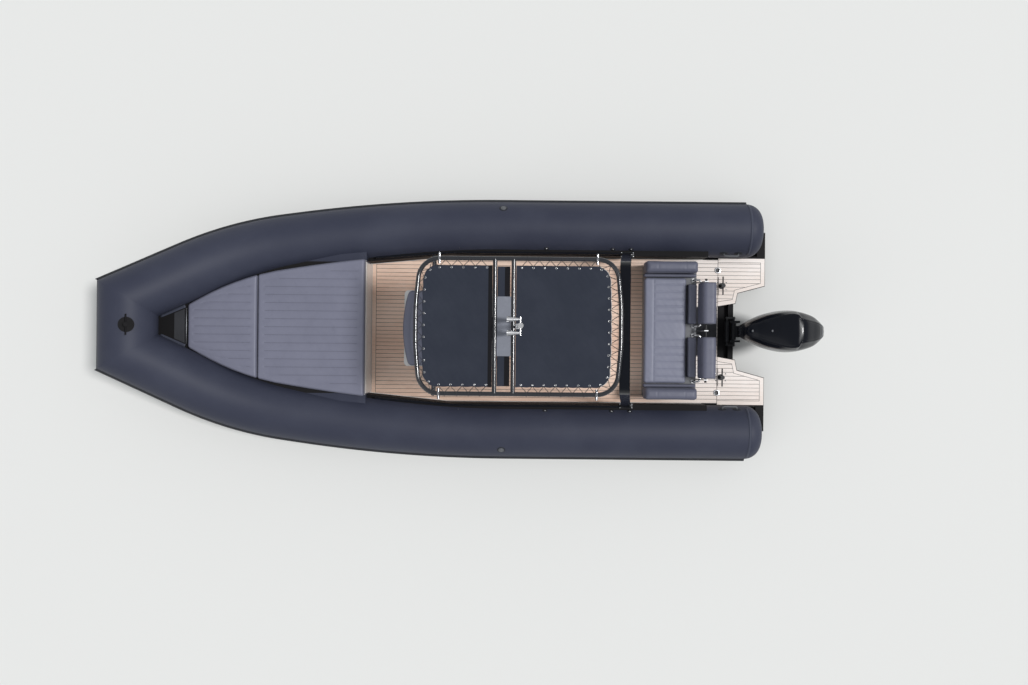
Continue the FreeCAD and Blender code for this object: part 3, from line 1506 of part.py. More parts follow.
doc.recompute()
failed = [thing.Name for thing in doc.Objects if "Invalid" in thing.State or "Error" in thing.State]
if failed:
    raise RuntimeError(f"failed objects: {failed}")
for name in NODES:
    shape = doc.getObject(name).Shape
    if shape.isNull() or not shape.isValid() or not shape.Solids:
        raise RuntimeError(f"{name} has no valid solid")
    shape.exportStep(f"parts/{name}.step")
    bounds = shape.BoundBox
    print(f"{name}: {len(shape.Solids)} solids, {shape.Volume / 1e6:.2f} litres, "
          f"x {bounds.XMin:.0f}..{bounds.XMax:.0f}, y {bounds.YMin:.0f}..{bounds.YMax:.0f}, "
          f"z {bounds.ZMin:.0f}..{bounds.ZMax:.0f}")
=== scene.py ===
# %% [markdown]
# # A rigid inflatable boat, dressed
# The boat's solids come in as a fixed frame, in metres: +X to the bow, +Y to port, +Z up, with the
# waterline at zero. This lesson gives every surface its finish and adds what a solid model leaves
# out: sewn cushions, laced canvas, seams, cords, gauges and small fittings.

# %% Load the frame
import math

import bpy
import numpy as np
from mathutils import Matrix


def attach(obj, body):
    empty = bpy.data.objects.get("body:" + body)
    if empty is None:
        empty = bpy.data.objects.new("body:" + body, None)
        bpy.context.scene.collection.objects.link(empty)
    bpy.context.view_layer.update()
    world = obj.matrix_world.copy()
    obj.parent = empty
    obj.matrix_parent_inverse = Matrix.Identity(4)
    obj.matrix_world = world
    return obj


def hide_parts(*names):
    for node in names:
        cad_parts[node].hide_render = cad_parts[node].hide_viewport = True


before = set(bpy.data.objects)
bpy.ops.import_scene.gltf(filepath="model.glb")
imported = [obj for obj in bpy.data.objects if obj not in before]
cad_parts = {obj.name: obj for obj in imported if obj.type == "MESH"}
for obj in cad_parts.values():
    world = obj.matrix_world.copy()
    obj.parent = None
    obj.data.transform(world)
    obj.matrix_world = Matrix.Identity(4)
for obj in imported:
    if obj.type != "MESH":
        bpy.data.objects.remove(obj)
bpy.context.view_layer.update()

# %% [markdown]
# ## Camera
# The photograph looks straight down. One metre of deck measures 86 pixels, and things 2 m above the
# deck look about a quarter larger, which puts the lens 10.2 m above the deck. The boat lies turned by
# half a degree, with its bow to the left and its port side below.

# %% Camera
DECK = 0.22
LENS_HEIGHT = 10.2
AIM = (2.547, 0.150)
SENSOR = 36.0
PHOTO_WIDTH = 1028
FOCAL_PIXELS = 877.2
TURN = math.radians(0.56)
right = (-math.cos(TURN), -math.sin(TURN), 0.0)
upward = (math.sin(TURN), -math.cos(TURN), 0.0)
backward = (0.0, 0.0, 1.0)

camera = bpy.data.objects.new("photo_camera", bpy.data.cameras.new("photo_camera"))
camera.data.sensor_width = SENSOR
camera.data.lens = SENSOR * FOCAL_PIXELS / PHOTO_WIDTH
camera.data.clip_end = 200.0
turned_down = Matrix((right, upward, backward)).transposed().to_4x4()
camera.matrix_world = Matrix.Translation((*AIM, DECK + LENS_HEIGHT)) @ turned_down
bpy.context.scene.collection.objects.link(camera)
bpy.context.scene.camera = camera
print("lens", round(camera.data.lens, 2), "mm")

# %% [markdown]
# ## Light
# A studio stands in for the beach. A broad key lamp keeps the photograph's direction, high and a
# little from astern, and its wide disc softens every shadow. A faint lamp from ahead and an even world
# fill the rest, so that a colour renders about as it is written.

# %% Light and colour management
scene = bpy.context.scene
scene.view_settings.view_transform = "Standard"
world = bpy.data.worlds.new("studio")
scene.world = world
world.use_nodes = True
backdrop = world.node_tree.nodes["Background"]
backdrop.inputs["Color"].default_value = (0.93, 0.96, 1.0, 1.0)
backdrop.inputs["Strength"].default_value = 0.50


def sun(name, travel, strength, spread_degrees):
    """A sun lamp whose light travels along the given direction."""
    lamp = bpy.data.lights.new(name, "SUN")
    lamp.energy = strength
    lamp.angle = math.radians(spread_degrees)
    holder = bpy.data.objects.new(name, lamp)
    back = -np.array(travel, float) / np.linalg.norm(travel)
    across = np.cross((0.0, 1.0, 0.0), back)
    across /= np.linalg.norm(across)
    holder.matrix_world = Matrix(np.column_stack([across, np.cross(back, across), back]).tolist()).to_4x4()
    scene.collection.objects.link(holder)


sun("key_sun", (0.549, 0.037, -1.0), 2.15, 9.0)
sun("fill_sun", (-0.5, -0.35, -0.55), 0.25, 40.0)

# %% [markdown]
# ## Shader arithmetic
# Patterns on a boat are mostly lines and bands: plank seams, weave, tape. They are easier to read as
# formulas than as a web of nodes, so one small class wraps a socket and lets Python's own operators
# add the Math nodes. A second class holds one material and makes its other nodes.

# %% Socket arithmetic


class Signal:
    """A number that varies over a surface: a socket with arithmetic."""

    def __init__(self, finish, socket):
        self.finish = finish
        self.socket = socket

    def math(self, operation, *others, clamp=False):
        """One Math node on this number and the others."""
        settings = {"operation": operation, "use_clamp": clamp}
        made = self.finish.node("ShaderNodeMath", settings, dict(enumerate((self, *others))))
        return Signal(self.finish, made.outputs[0])

    def __add__(self, other):
        return self.math("ADD", other)

    def __sub__(self, other):
        return self.math("SUBTRACT", other)

    def __rsub__(self, other):
        return self * -1.0 + other

    def __mul__(self, other):
        return self.math("MULTIPLY", other)

    def __abs__(self):
        return self.math("ABSOLUTE")

    __radd__ = __add__
    __rmul__ = __mul__

    def sine(self):
        return self.math("SINE")

    def least(self, other):
        return self.math("MINIMUM", other)

    def below(self, limit):
        """1 where the number is below the limit, 0 elsewhere."""
        return self.math("LESS_THAN", limit)

    def above(self, limit):
        """1 where the number is above the limit, 0 elsewhere."""
        return self.math("GREATER_THAN", limit)

    def near(self, middle, half):
        """1 where the number lies less than half away from the middle, 0 elsewhere."""
        return abs(self - middle).below(half)

    def off_line(self, pitch):
        """How far the number is from a whole count of pitches: |frac(v / pitch + 1/2) - 1/2|."""
        return abs((self * (1.0 / pitch) + 0.5).math("FRACT") - 0.5)

    def ramp(self, low, high):
        """0 at the low value, 1 at the high one, smooth between them: s^2 (3 - 2 s)."""
        share = ((self - low) * (1.0 / (high - low))).math("ADD", 0.0, clamp=True)
        return share * share * (3.0 - 2.0 * share)


print("socket arithmetic ready")

# %% One material


class Finish:
    """A material whose nodes are made by expressions."""

    def __init__(self, name, colour, **fixed):
        self.material = bpy.data.materials.new(name)
        self.material.use_nodes = True
        self.tree = self.material.node_tree
        self.point = None
        self.set(Base_Color=(*colour, 1.0), **fixed)

    def node(self, kind, settings, values):
        """Any node: its settings first, then the values or links of its sockets."""
        made = self.tree.nodes.new(kind)
        for key, value in settings.items():
            setattr(made, key, value)
        for key, value in values.items():
            self.join(value, made.inputs[key])
        return made

    def join(self, value, socket):
        """Link a signal or a socket, or write a plain value."""
        value = value.socket if isinstance(value, Signal) else value
        if isinstance(value, bpy.types.NodeSocket):
            self.tree.links.new(value, socket)
        else:
            socket.default_value = value

    def set(self, **values):
        """Sockets of the shader by name, with _ for a space."""
        for name, value in values.items():
            self.join(value, self.tree.nodes["Principled BSDF"].inputs[name.replace("_", " ")])

    def place(self):
        """The point on the object, as a vector socket."""
        if self.point is None:
            self.point = self.node("ShaderNodeTexCoord", {}, {}).outputs["Object"]
        return self.point

    def axes(self):
        """The point's x, y and z as three signals."""
        return [Signal(self, s) for s in self.node("ShaderNodeSeparateXYZ", {}, {0: self.place()}).outputs]

    def stretched(self, x, y, z):
        """The point with its axes scaled, for long or fine patterns."""
        values = {0: self.place(), 1: (x, y, z)}
        return self.node("ShaderNodeVectorMath", {"operation": "MULTIPLY"}, values).outputs[0]

    def noise(self, scale, detail=3.0, roughness=0.5, point=None):
        """Cloudy noise from 0 to 1; the detail adds finer clouds."""
        values = {"Vector": point or self.place(), "Scale": scale, "Detail": detail, "Roughness": roughness}
        return Signal(self, self.node("ShaderNodeTexNoise", {}, values).outputs["Fac"])

    def cells(self, scale):
        """Distance to the nearest cell's middle."""
        values = {"Vector": self.place(), "Scale": scale}
        return Signal(self, self.node("ShaderNodeTexVoronoi", {}, values).outputs["Distance"])

    def blend(self, share, low, high):
        """Between two colours, each three numbers or a socket."""
        low, high = ((*colour, 1.0) if isinstance(colour, tuple) else colour for colour in (low, high))
        values = {"Factor": share, 6: low, 7: high}
        return self.node("ShaderNodeMix", {"data_type": "RGBA"}, values).outputs[2]

    def skinned(self, colour, roughness, height, distance, strength):
        """Set the colour, the roughness and a bump of this height, and give the material."""
        values = {"Height": height, "Distance": distance, "Strength": strength}
        relief = self.node("ShaderNodeBump", {}, values).outputs["Normal"]
        self.set(Base_Color=colour, Roughness=roughness, Normal=relief)
        return self.material


def toned(colour, gain, lift=0.0):
    """A colour made lighter or darker: gain * c + lift."""
    return tuple(gain * c + lift for c in colour)


print("material tools ready")

# %% [markdown]
# ## Finishes
# Each finish follows the real material at its real scale. The collar is coated cloth: matt, with a
# fine weave, faint clouding and a little dust. The strake round it is ribbed rubber. All patterns are
# drawn from the object's own coordinates, so they stay on a piece that moves.

# %% Collar cloth and rubber


def coated_cloth(name, colour, dusty):
    """Coated boat cloth: fine weave, clouded colour, faint dust."""
    made = Finish(name, colour, Specular_IOR_Level=0.25)
    x, y, z = made.axes()
    clouds = made.noise(1.7, 4.0, 0.55)
    specks = made.noise(38.0, 3.0, 0.6)
    skin = made.blend(clouds.ramp(0.35, 0.75) * 0.55 + specks.ramp(0.55, 0.8) * 0.25, colour, dusty)
    weave = (x * 2100.0).sine() * (y * 2100.0 + z * 2100.0).sine()
    height = weave * 0.5 + made.noise(9.0, 2.0) * 4.0
    return made.skinned(skin, 0.46 + clouds * 0.12 + specks * 0.06, height, 0.0004, 0.35)


def ribbed_rubber(name, colour, pitch):
    """Moulded rubber with fine lengthwise ribs over its height."""
    made = Finish(name, colour)
    ribs = abs((made.axes()[2] * (math.pi / pitch)).sine())
    wear = made.noise(6.0, 5.0, 0.6)
    skin = made.blend(wear.ramp(0.45, 0.8) * 0.5, colour, toned(colour, 1.6, 0.01))
    return made.skinned(skin, 0.5 + wear * 0.15, ribs + wear * 0.3, 0.0012, 0.5)


CLOTH = (0.034, 0.038, 0.061)
TUBE_CLOTH = coated_cloth("tube_cloth", CLOTH, (0.049, 0.054, 0.080))
# The tapes are real, but their cloth is made lighter than the tube's as a painted sheen, like the one where
# the tubes round off at their ends.
SHEEN_TAPE_CLOTH = coated_cloth("tape_cloth_sheen", (0.048, 0.053, 0.078), (0.062, 0.068, 0.094))
PATCH_RUBBER = coated_cloth("patch_rubber", (0.018, 0.020, 0.027), (0.034, 0.037, 0.046))
STRAKE_RUBBER = ribbed_rubber("strake_rubber", (0.012, 0.013, 0.017), 0.018)
print("collar finishes", TUBE_CLOTH.name, SHEEN_TAPE_CLOTH.name)

# %% [markdown]
# Upholstery is grained vinyl, and cords are twisted thread. The sewn lines of the sun pad are real grooves
# in its mesh. The shade in them is too narrow for the mesh to catch, so the finish paints that shade in.

# %% Upholstery
CHANNEL = 0.089


def pad_seam_shade(x, y):
    """1 on the sun pad's sewn lines, where their shade is painted; they end at the plain border along its
    outline.
    """
    half = (1.427 - x * 0.158).least(2.935 - x * 0.4377) - 0.080
    either_pad = x.near(4.7975, 0.5125) + x.near(5.780, 0.310)
    return y.off_line(CHANNEL).below(0.018) * either_pad * (half - abs(y)).above(0.0)


def grained_vinyl(name, colour, dark, seams=None):
    """Marine vinyl: leather-like grain, soft stains and a satin skin, with the shade of its seams."""
    made = Finish(name, colour, Specular_IOR_Level=0.4)
    smudges = made.noise(16.0, 4.0, 0.65)
    share = made.noise(2.6, 4.0, 0.6).ramp(0.3, 0.8) * 0.5 + smudges.ramp(0.5, 0.85) * 0.35
    skin = made.blend(share, colour, dark)
    if seams:
        # painted shade in the sewn grooves, darker than the vinyl
        skin = made.blend(seams(*made.axes()[:2]) * 0.75, skin, toned(dark, 0.45))
    grain = made.cells(620.0) * 0.6 + made.noise(60.0, 3.0) * 1.2
    return made.skinned(skin, 0.42 + smudges * 0.14, grain, 0.0005, 0.45)


def stitched_thread(name, colour):
    """Cord or thread with its twist."""
    made = Finish(name, colour)
    x, y, z = made.axes()
    fuzz = made.blend(made.noise(300.0), colour, toned(colour, 0.7))
    return made.skinned(fuzz, 0.7, ((x + y + z) * 3000.0).sine(), 0.0003, 0.5)


SUNPAD_VINYL = grained_vinyl("sunpad_vinyl", (0.166, 0.170, 0.226), (0.128, 0.132, 0.180), pad_seam_shade)
SEAT_VINYL = grained_vinyl("seat_vinyl", (0.190, 0.198, 0.262), (0.146, 0.153, 0.206))
BLOCK_VINYL = grained_vinyl("block_vinyl", (0.112, 0.116, 0.160), (0.086, 0.090, 0.126))
PIPING_VINYL = grained_vinyl("piping_vinyl", (0.100, 0.103, 0.135), (0.075, 0.078, 0.104))
LACE = stitched_thread("lace_cord", (0.030, 0.030, 0.036))
PALE_CORD = stitched_thread("pale_cord", (0.62, 0.60, 0.58))
print("upholstery finishes ready")

# %% [markdown]
# The deck is teak in 45 mm planks with black caulking, bleached towards the stern, in a polished
# moulding. One long plank borders each panel, so the seams need the distance from the panel's edge.
# The moulding is one solid with several colours; masks by place set them apart.

# %% Teak
PLANK = 0.045
BORDER = 0.047
SEAM = 0.0021


def cockpit_border(x, y):
    """Distance inside the cockpit sole's front edge, where one plank runs across."""
    return 4.199 - x


def platform_border(x, y):
    """Distance inside a swim platform's outline, from its straight edges.

    The distance to the line through (x1, y1) and (x2, y2) is
    ((y - y1)(x2 - x1) - (x - x1)(y2 - y1)) / length.
    At the waist the outline turns inward, so the larger of two distances counts there.
    """
    def inside(x1, y1, x2, y2):
        length = math.hypot(x2 - x1, y2 - y1)
        return (abs(y) - y1) * ((x2 - x1) / length) - (x - x1) * ((y2 - y1) / length)

    inner = inside(-0.050, 0.445, -0.025, 0.330).least(inside(-0.025, 0.330, 0.186, 0.300))
    inner = inside(-0.364, 0.530, -0.050, 0.445).math("MAXIMUM", inner)
    return (x + 0.358).least(0.850 - abs(y)).least(inner)


def caulked_teak(name, light, deep, border, bleached=None):
    """Teak planks along X with black caulking, a border plank and grain that follows each plank.

    The bleached pair of colours, if given, takes over towards the stern.
    """
    made = Finish(name, light)
    x, y = made.axes()[:2]
    if bleached:
        kept = x.ramp(0.4, 1.3)
        light, deep = made.blend(kept, bleached[0], light), made.blend(kept, bleached[1], deep)
    inside = border(x, y)
    seam = (y.off_line(PLANK).above(0.455) * inside.above(BORDER) + inside.near(BORDER, SEAM)).least(1.0)
    row_tone = ((y * (1.0 / PLANK) + 0.5).math("FLOOR") * 12.9898).sine()
    grain = made.noise(26.0, 6.0, 0.62, made.stretched(0.35, 9.0, 9.0))
    flecks = made.noise(90.0, 4.0, 0.6, made.stretched(0.25, 6.0, 6.0))
    clouds = made.noise(1.3, 3.0, 0.6)
    share = (grain * 0.7 + flecks * 0.3 + row_tone * 0.08 + clouds * 0.25).ramp(0.35, 0.85)
    skin = made.blend(seam, made.blend(share, light, deep), (0.035, 0.030, 0.028))
    return made.skinned(skin, 0.55 + grain * 0.2 - seam * 0.15, grain * 0.35 - seam * 1.2, 0.0012, 0.6)


BLEACHED = ((0.97, 0.91, 0.87), (0.84, 0.73, 0.66))
TEAK = caulked_teak("teak_planks", (0.93, 0.72, 0.59), (0.72, 0.48, 0.36), cockpit_border, BLEACHED)
TEAK_PALE = caulked_teak("teak_bleached", *BLEACHED, platform_border)
print("teak", round(PLANK * 1000), "mm planks")

# %% Moulding and non-slip
MATT = (0.0075, 0.0070, 0.0078)
WHITE = ((0.72, 0.71, 0.69), (0.62, 0.61, 0.59))


def gelcoat(name, colour, shade, masks=None):
    """Polished moulding: clear coat over a clouded colour, matt black or cloth colour where a mask is 1."""
    specular = 0.2 if masks else 0.5
    made = Finish(name, colour, Coat_Weight=0.35, Coat_Roughness=0.08, Specular_IOR_Level=specular)
    scuffs = made.noise(45.0, 5.0, 0.7)
    share = made.noise(1.1, 3.0, 0.5).ramp(0.4, 0.8) * 0.6 + scuffs.ramp(0.7, 0.9) * 0.3
    skin, roughness = made.blend(share, colour, shade), 0.22 + scuffs * 0.14
    if masks:
        black, cloth = masks(*made.axes())
        skin = made.blend(cloth, made.blend(black, skin, MATT), CLOTH)
        roughness = roughness + black * 0.4
        made.set(Coat_Weight=0.35 - black * 0.35)
    return made.skinned(skin, roughness, made.noise(3.0, 2.0), 0.0006, 0.25)


def non_slip(name, colour):
    """Moulded non-slip with small raised diamonds."""
    made = Finish(name, colour)
    x, y = made.axes()[:2]
    diamonds = abs(((x + y) * 420.0).sine()) * abs(((x - y) * 420.0).sine())
    wear = made.noise(7.0, 4.0, 0.6)
    skin = made.blend(wear.ramp(0.4, 0.8) * 0.4 + diamonds * 0.2, colour, toned(colour, 1.5, 0.006))
    return made.skinned(skin, 0.5 + wear * 0.2, diamonds, 0.001, 0.6)


def moulding_masks(x, y, z):
    """Black on the foredeck, the outer flanks and the motor well; cloth colour beside the sun pad."""
    foredeck = x.above(4.000) * z.above(0.600)
    quarters = x.below(0.362) * abs(y).above(0.834)
    shoulders = x.above(4.050) * abs(y).above(0.735) * z.above(0.300)
    return (foredeck + quarters + x.below(0.186) + abs(y).above(0.905)).least(1.0), shoulders


GELCOAT = gelcoat("white_gelcoat", *WHITE)
GELCOAT_GREY = gelcoat("grey_gelcoat", (0.115, 0.118, 0.130), (0.090, 0.092, 0.102))
MOULDING = gelcoat("moulding_gelcoat", *WHITE, moulding_masks)
NON_SLIP = non_slip("dark_non_slip", (0.022, 0.023, 0.028))
print("deck finishes ready")

# %% [markdown]
# The T-top and the outboard are painted, the fittings are stainless or plastic, and the roof is woven
# canvas. Small rubbed spots, haze and smears keep these plain surfaces from looking flat. A mask by
# place gives one solid a second material, such as the steel lugs on the painted roof ring.

# %% Paint and metal


def painted(name, colour, roughness, coat, specular=0.5, bare=None):
    """Paint over metal, with faint orange peel and rubbed spots, and bare metal where the mask is 1."""
    made = Finish(name, colour, Coat_Weight=coat, Coat_Roughness=0.05, Specular_IOR_Level=specular)
    rubbed = made.noise(12.0, 5.0, 0.65)
    skin = made.blend(rubbed.ramp(0.55, 0.85) * 0.5, colour, toned(colour, 1.5, 0.004))
    if bare:
        metal = bare(*made.axes())
        skin = made.blend(metal, skin, (0.36, 0.36, 0.37))
        made.set(Metallic=metal)
    return made.skinned(skin, roughness - 0.04 + rubbed * 0.14, made.noise(220.0, 2.0), 0.0002, 0.25)


def banded_paint(name, colour, rubbed_colour, band):
    """Black engine paint with a grey band that rises along each flank."""
    made = Finish(name, colour, Coat_Weight=0.08, Coat_Roughness=0.05, Specular_IOR_Level=0.15)
    x, _, z = made.axes()
    rubbed = made.noise(12.0, 5.0, 0.65)
    skin = made.blend(rubbed.ramp(0.55, 0.85) * 0.5, colour, rubbed_colour)
    rising = z + x * 0.32
    skin = made.blend(rising.near(0.760, 0.020) + rising.near(0.815, 0.006), skin, band)
    return made.skinned(skin, 0.16 + rubbed * 0.12, made.noise(220.0, 2.0), 0.0002, 0.25)


def bright_metal(name, colour, roughness, black=None):
    """Polished metal with fine scratches and salt haze, and matt black where the mask is 1, as painted
    shade.
    """
    made = Finish(name, colour, Metallic=1.0)
    scratches = made.noise(240.0, 4.0, 0.7, made.stretched(0.3, 3.0, 3.0))
    haze = made.noise(9.0, 4.0, 0.6)
    skin = made.blend(haze.ramp(0.4, 0.8) * 0.4, colour, toned(colour, 0.75))
    hazed = roughness + haze * 0.12
    if black:
        share = black(*made.axes())
        # painted shade: matt black instead of steel where the mask is 1
        skin = made.blend(share, skin, (0.012, 0.012, 0.014))
        made.set(Metallic=1.0 - share)
    return made.skinned(skin, hazed + (share * 0.3 if black else scratches * 0.06), scratches, 0.00015, 0.3)


def roof_lugs(x, y, z):
    """The four steel clamps on the roof ring."""
    return (x.near(3.250, 0.010) + x.near(1.771, 0.010)) * abs(y).above(0.570) * z.above(2.150)


def shaft_shade(x, y, z):
    """The round of the backrest's shaft, painted black as the shade round its stubs."""
    return x.near(0.437, 0.020) * z.near(0.7653, 0.020)


STEEL = bright_metal("polished_steel", (0.62, 0.62, 0.63), 0.16)
SHAFT = bright_metal("frame_steel", (0.62, 0.62, 0.63), 0.2, shaft_shade)
ALLOY = bright_metal("satin_alloy", (0.55, 0.56, 0.58), 0.32)
COWL_PAINT = banded_paint("cowl_paint", (0.0035, 0.0045, 0.008), (0.012, 0.014, 0.019),
                          (0.070, 0.076, 0.085))
MATT_BLACK = painted("matt_moulding", MATT, 0.6, 0.0, 0.12)
GLOSS_BLACK = painted("gloss_black", (0.003, 0.004, 0.007), 0.18, 0.08, 0.15)
SATIN_BLACK = painted("satin_black", (0.009, 0.010, 0.012), 0.38, 0.05, 0.3)
ROOF_PAINT = painted("roof_paint", (0.012, 0.013, 0.017), 0.17, 0.5, 0.5, roof_lugs)
PLATE_PAINT = painted("plate_paint", (0.17, 0.18, 0.215), 0.4, 0.1)
print("paints and metals ready")

# %% Canvas and plastics


def woven_canvas(name, colour, pale):
    """Acrylic canvas: plain weave, faint folds and sun bleaching, with the crossbars' shadows painted on it
    as black bands.
    """
    made = Finish(name, colour, Sheen_Weight=0.05, Specular_IOR_Level=0.2)
    x, y = made.axes()[:2]
    weave = abs((x * 3600.0).sine()) * 0.5 + abs((y * 3600.0).sine()) * 0.5
    fibres = made.noise(140.0, 3.0, 0.7)
    cloth = made.blend(made.noise(3.2, 4.0, 0.6).ramp(0.3, 0.8) * 0.5 + fibres * 0.25, colour, pale)
    # painted shadows of the two crossbars, cast forward onto the cloth
    skin = made.blend(x.near(2.770, 0.022) + x.near(2.612, 0.026), cloth, (0.006, 0.006, 0.008))
    return made.skinned(skin, 0.76 + fibres * 0.14, weave + fibres * 0.6, 0.0004, 0.4)


def moulded(name, colour, roughness=0.45):
    """Moulded plastic with a fine spark-eroded grain."""
    made = Finish(name, colour)
    smears = made.noise(14.0, 4.0, 0.6)
    skin = made.blend(smears.ramp(0.5, 0.85) * 0.4, colour, toned(colour, 1.4, 0.006))
    return made.skinned(skin, roughness - 0.05 + smears * 0.14, made.noise(900.0, 2.0), 0.0002, 0.4)


def tinted_acrylic(name, colour):
    """Smoked clear sheet: partly see-through, with a glossy skin."""
    made = Finish(name, colour, IOR=1.49, Coat_Weight=0.3)
    smears = made.noise(8.0, 4.0, 0.6)
    made.set(Roughness=0.04 + smears * 0.08, Alpha=0.50 + smears * 0.08)
    return made.material


def lit_screen(name):
    """A chart screen behind glass: dark blue with pale contour lines."""
    made = Finish(name, (0.012, 0.020, 0.032), Coat_Weight=0.6)
    depth = made.noise(9.0, 4.0, 0.55)
    lines = (depth * 14.0).math("FRACT").near(0.5, 0.05)
    chart = made.blend(depth.above(0.58), (0.012, 0.030, 0.050), (0.055, 0.050, 0.030))
    made.set(Base_Color=made.blend(lines * 0.6, chart, (0.05, 0.07, 0.08)), Roughness=0.06 + depth * 0.05)
    return made.material


CANVAS = woven_canvas("roof_canvas", (0.022, 0.0265, 0.040), (0.034, 0.039, 0.055))
BLACK_PLASTIC = moulded("black_plastic", (0.012, 0.012, 0.014))
GREY_PLASTIC = moulded("grey_plastic", (0.10, 0.105, 0.115))
WHITE_PLASTIC = moulded("white_plastic", (0.70, 0.70, 0.70), 0.35)
DIAL = moulded("gauge_dial", (0.02, 0.02, 0.022), 0.3)
SMOKED = tinted_acrylic("smoked_acrylic", (0.035, 0.036, 0.040))
SCREEN_GLASS = lit_screen("chart_screen")
print("canvas and plastics ready")

# %% [markdown]
# ## Dress the solids
# The solids whose forms are already right keep their meshes and only take a finish.

# %% Finish of each solid
SOLIDS_OF = (
    (MATT_BLACK, "hull_bottom gunwales bow_post"),
    (MOULDING, "deck_moulding"),
    (GELCOAT, "bow_lid_rear bow_lid_front console_shell console_door helm_seat_base"),
    (GELCOAT_GREY, "bench_base bench_lid"),
    (TEAK, "teak_sole"),
    (TEAK_PALE, "teak_platforms"),
    (NON_SLIP, "anchor_lid"),
    (TUBE_CLOTH, "collar_port collar_starboard collar_bow"),
    (STRAKE_RUBBER, "rubbing_strake"),
    (GLOSS_BLACK, "side_rails t_top_arch cowl lower_cowl midsection gearcase"),
    (SATIN_BLACK, "stern_bollards clamp_bracket swivel_bracket steering_cylinder"),
    (STEEL, "bow_eye stern_eyes mast_light propeller"),
    (SHAFT, "backrest_frame"),
    (ROOF_PAINT, "roof_frame t_top_legs"),
    (PLATE_PAINT, "roof_plate"),
    (SMOKED, "windscreen"),
    (BLACK_PLASTIC, "dash_panel steering_wheel throttle"),
    (GREY_PLASTIC, "powerhead"),
    (CANVAS, "canvas_aft canvas_front"),
    (LACE, "lacing"),
)
for finish, nodes in SOLIDS_OF:
    for node in nodes.split():
        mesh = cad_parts[node].data
        mesh.materials.clear()
        mesh.materials.append(finish)
print("dressed", sum(len(nodes.split()) for _, nodes in SOLIDS_OF), "solids")

# %% [markdown]
# ## Surface tools
# New pieces are surfaces worked out with numpy. A grid of points becomes a skin, a profile carried
# along a path becomes a bar, a tape or a cord, and a profile turned round an axis becomes a cap or a
# bolt. A part is a pair: its points and its faces.

# %% Mesh tools
UP = np.array((0.0, 0.0, 1.0))
FLAT = np.array((1.0, 1.0, 0.0))


def unit(vectors):
    """Vectors of length one."""
    return vectors / np.linalg.norm(vectors, axis=-1, keepdims=True)


def publish(name, part, finish, body="boat"):
    """Put a part into a smooth mesh object that rides on a body."""
    points, faces = part
    mesh = bpy.data.meshes.new(name)
    mesh.from_pydata(np.asarray(points, float).tolist(), [], [list(map(int, f)) for f in faces])
    mesh.materials.append(finish)
    mesh.polygons.foreach_set("use_smooth", np.full(len(mesh.polygons), True))
    mesh.update()
    piece = bpy.data.objects.new(name, mesh)
    scene.collection.objects.link(piece)
    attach(piece, body)
    return piece


def grid_points(x, y, z):
    """Points from arrays of their x, y and z, spread to one shape."""
    return np.stack(np.broadcast_arrays(x, y, z), -1)


def grid_faces(rows, columns, wrap_rows=False, wrap_columns=False, start=0):
    """Quads of a grid of points stored row by row."""
    i = np.arange(rows if wrap_rows else rows - 1)
    j = np.arange(columns if wrap_columns else columns - 1)
    a, b = (part.ravel() for part in np.meshgrid(i, j, indexing="ij"))
    a1, b1 = (a + 1) % rows, (b + 1) % columns
    return start + np.stack([a * columns + b, a1 * columns + b, a1 * columns + b1, a * columns + b1], 1)


def tube_faces(rows, columns, flip=False):
    """Faces of a tube of rings with both ends closed; flip turns them round."""
    last = (rows - 1) * columns
    faces = grid_faces(rows, columns, wrap_columns=True).tolist()
    faces += [list(range(columns)), [last + k for k in range(columns - 1, -1, -1)]]
    return [face[::-1] for face in faces] if flip else faces


def hoop_faces(one, two):
    """Quads between two closed rings of point numbers."""
    return np.stack([one, two, np.roll(two, -1), np.roll(one, -1)], 1).tolist()


def rim_order(rows, columns):
    """Indices of a grid's outer points, once round, anticlockwise for x by rows and y by columns."""
    grid = np.arange(rows * columns).reshape(rows, columns)
    return np.concatenate([grid[:-1, 0], grid[-1, :-1], grid[:0:-1, -1], grid[0, :0:-1]])


def sheet_faces(rows, columns):
    """Faces of a thin sheet: its top grid, its lower grid and the strip between their rims."""
    rim, count = rim_order(rows, columns), rows * columns
    faces = grid_faces(rows, columns).tolist() + grid_faces(rows, columns, start=count)[:, ::-1].tolist()
    return faces + hoop_faces(rim, rim + count)


def gathered(parts):
    """Several parts as one."""
    points, faces, start = [], [], 0
    for some_points, some_faces in parts:
        points.append(np.asarray(some_points, float))
        faces += [[start + int(k) for k in face] for face in some_faces]
        start += len(some_points)
    return np.concatenate(points), faces


def mirrored(part):
    """The same part on the other side of the middle plane."""
    points, faces = part
    return points * np.array([1.0, -1.0, 1.0]), [face[::-1] for face in faces]


def paired(parts):
    """Parts of the port side with their mirror images, as one."""
    return gathered([*parts, *(mirrored(part) for part in parts)])


def moved_to(part, origin, along=(1.0, 0.0, 0.0), across=(0.0, 1.0, 0.0), upward=(0.0, 0.0, 1.0)):
    """A part whose own axes are laid on three directions at an origin."""
    points, faces = part
    return points @ np.array((along, across, upward), float) + np.asarray(origin, float), faces


def ring(radius, sides, squash=1.0):
    """A round or oval profile, anticlockwise: radius * (cos t, squash * sin t)."""
    angle = np.linspace(0.0, 2.0 * math.pi, sides, endpoint=False)
    return np.stack([radius * np.cos(angle), radius * squash * np.sin(angle)], 1)


print("mesh tools ready")

# %% Paths, bars and turned forms


def lengths_along(path):
    """The distance along a path at each of its points."""
    return np.concatenate([[0.0], np.cumsum(np.linalg.norm(np.diff(path, axis=0), axis=1))])


def points_at(path, at):
    """The path's points at some distances along it."""
    lengths = lengths_along(path)
    return np.stack([np.interp(at, lengths, path[:, k]) for k in range(3)], 1)


def resampled(path, step):
    """The same path with even spacing."""
    length = lengths_along(path)[-1]
    return points_at(path, np.linspace(0.0, length, max(2, int(round(length / step)) + 1)))


def even_loop(loop, step):
    """The same closed line with even spacing."""
    return resampled(np.concatenate([loop, loop[:1]]), step)[:-1]


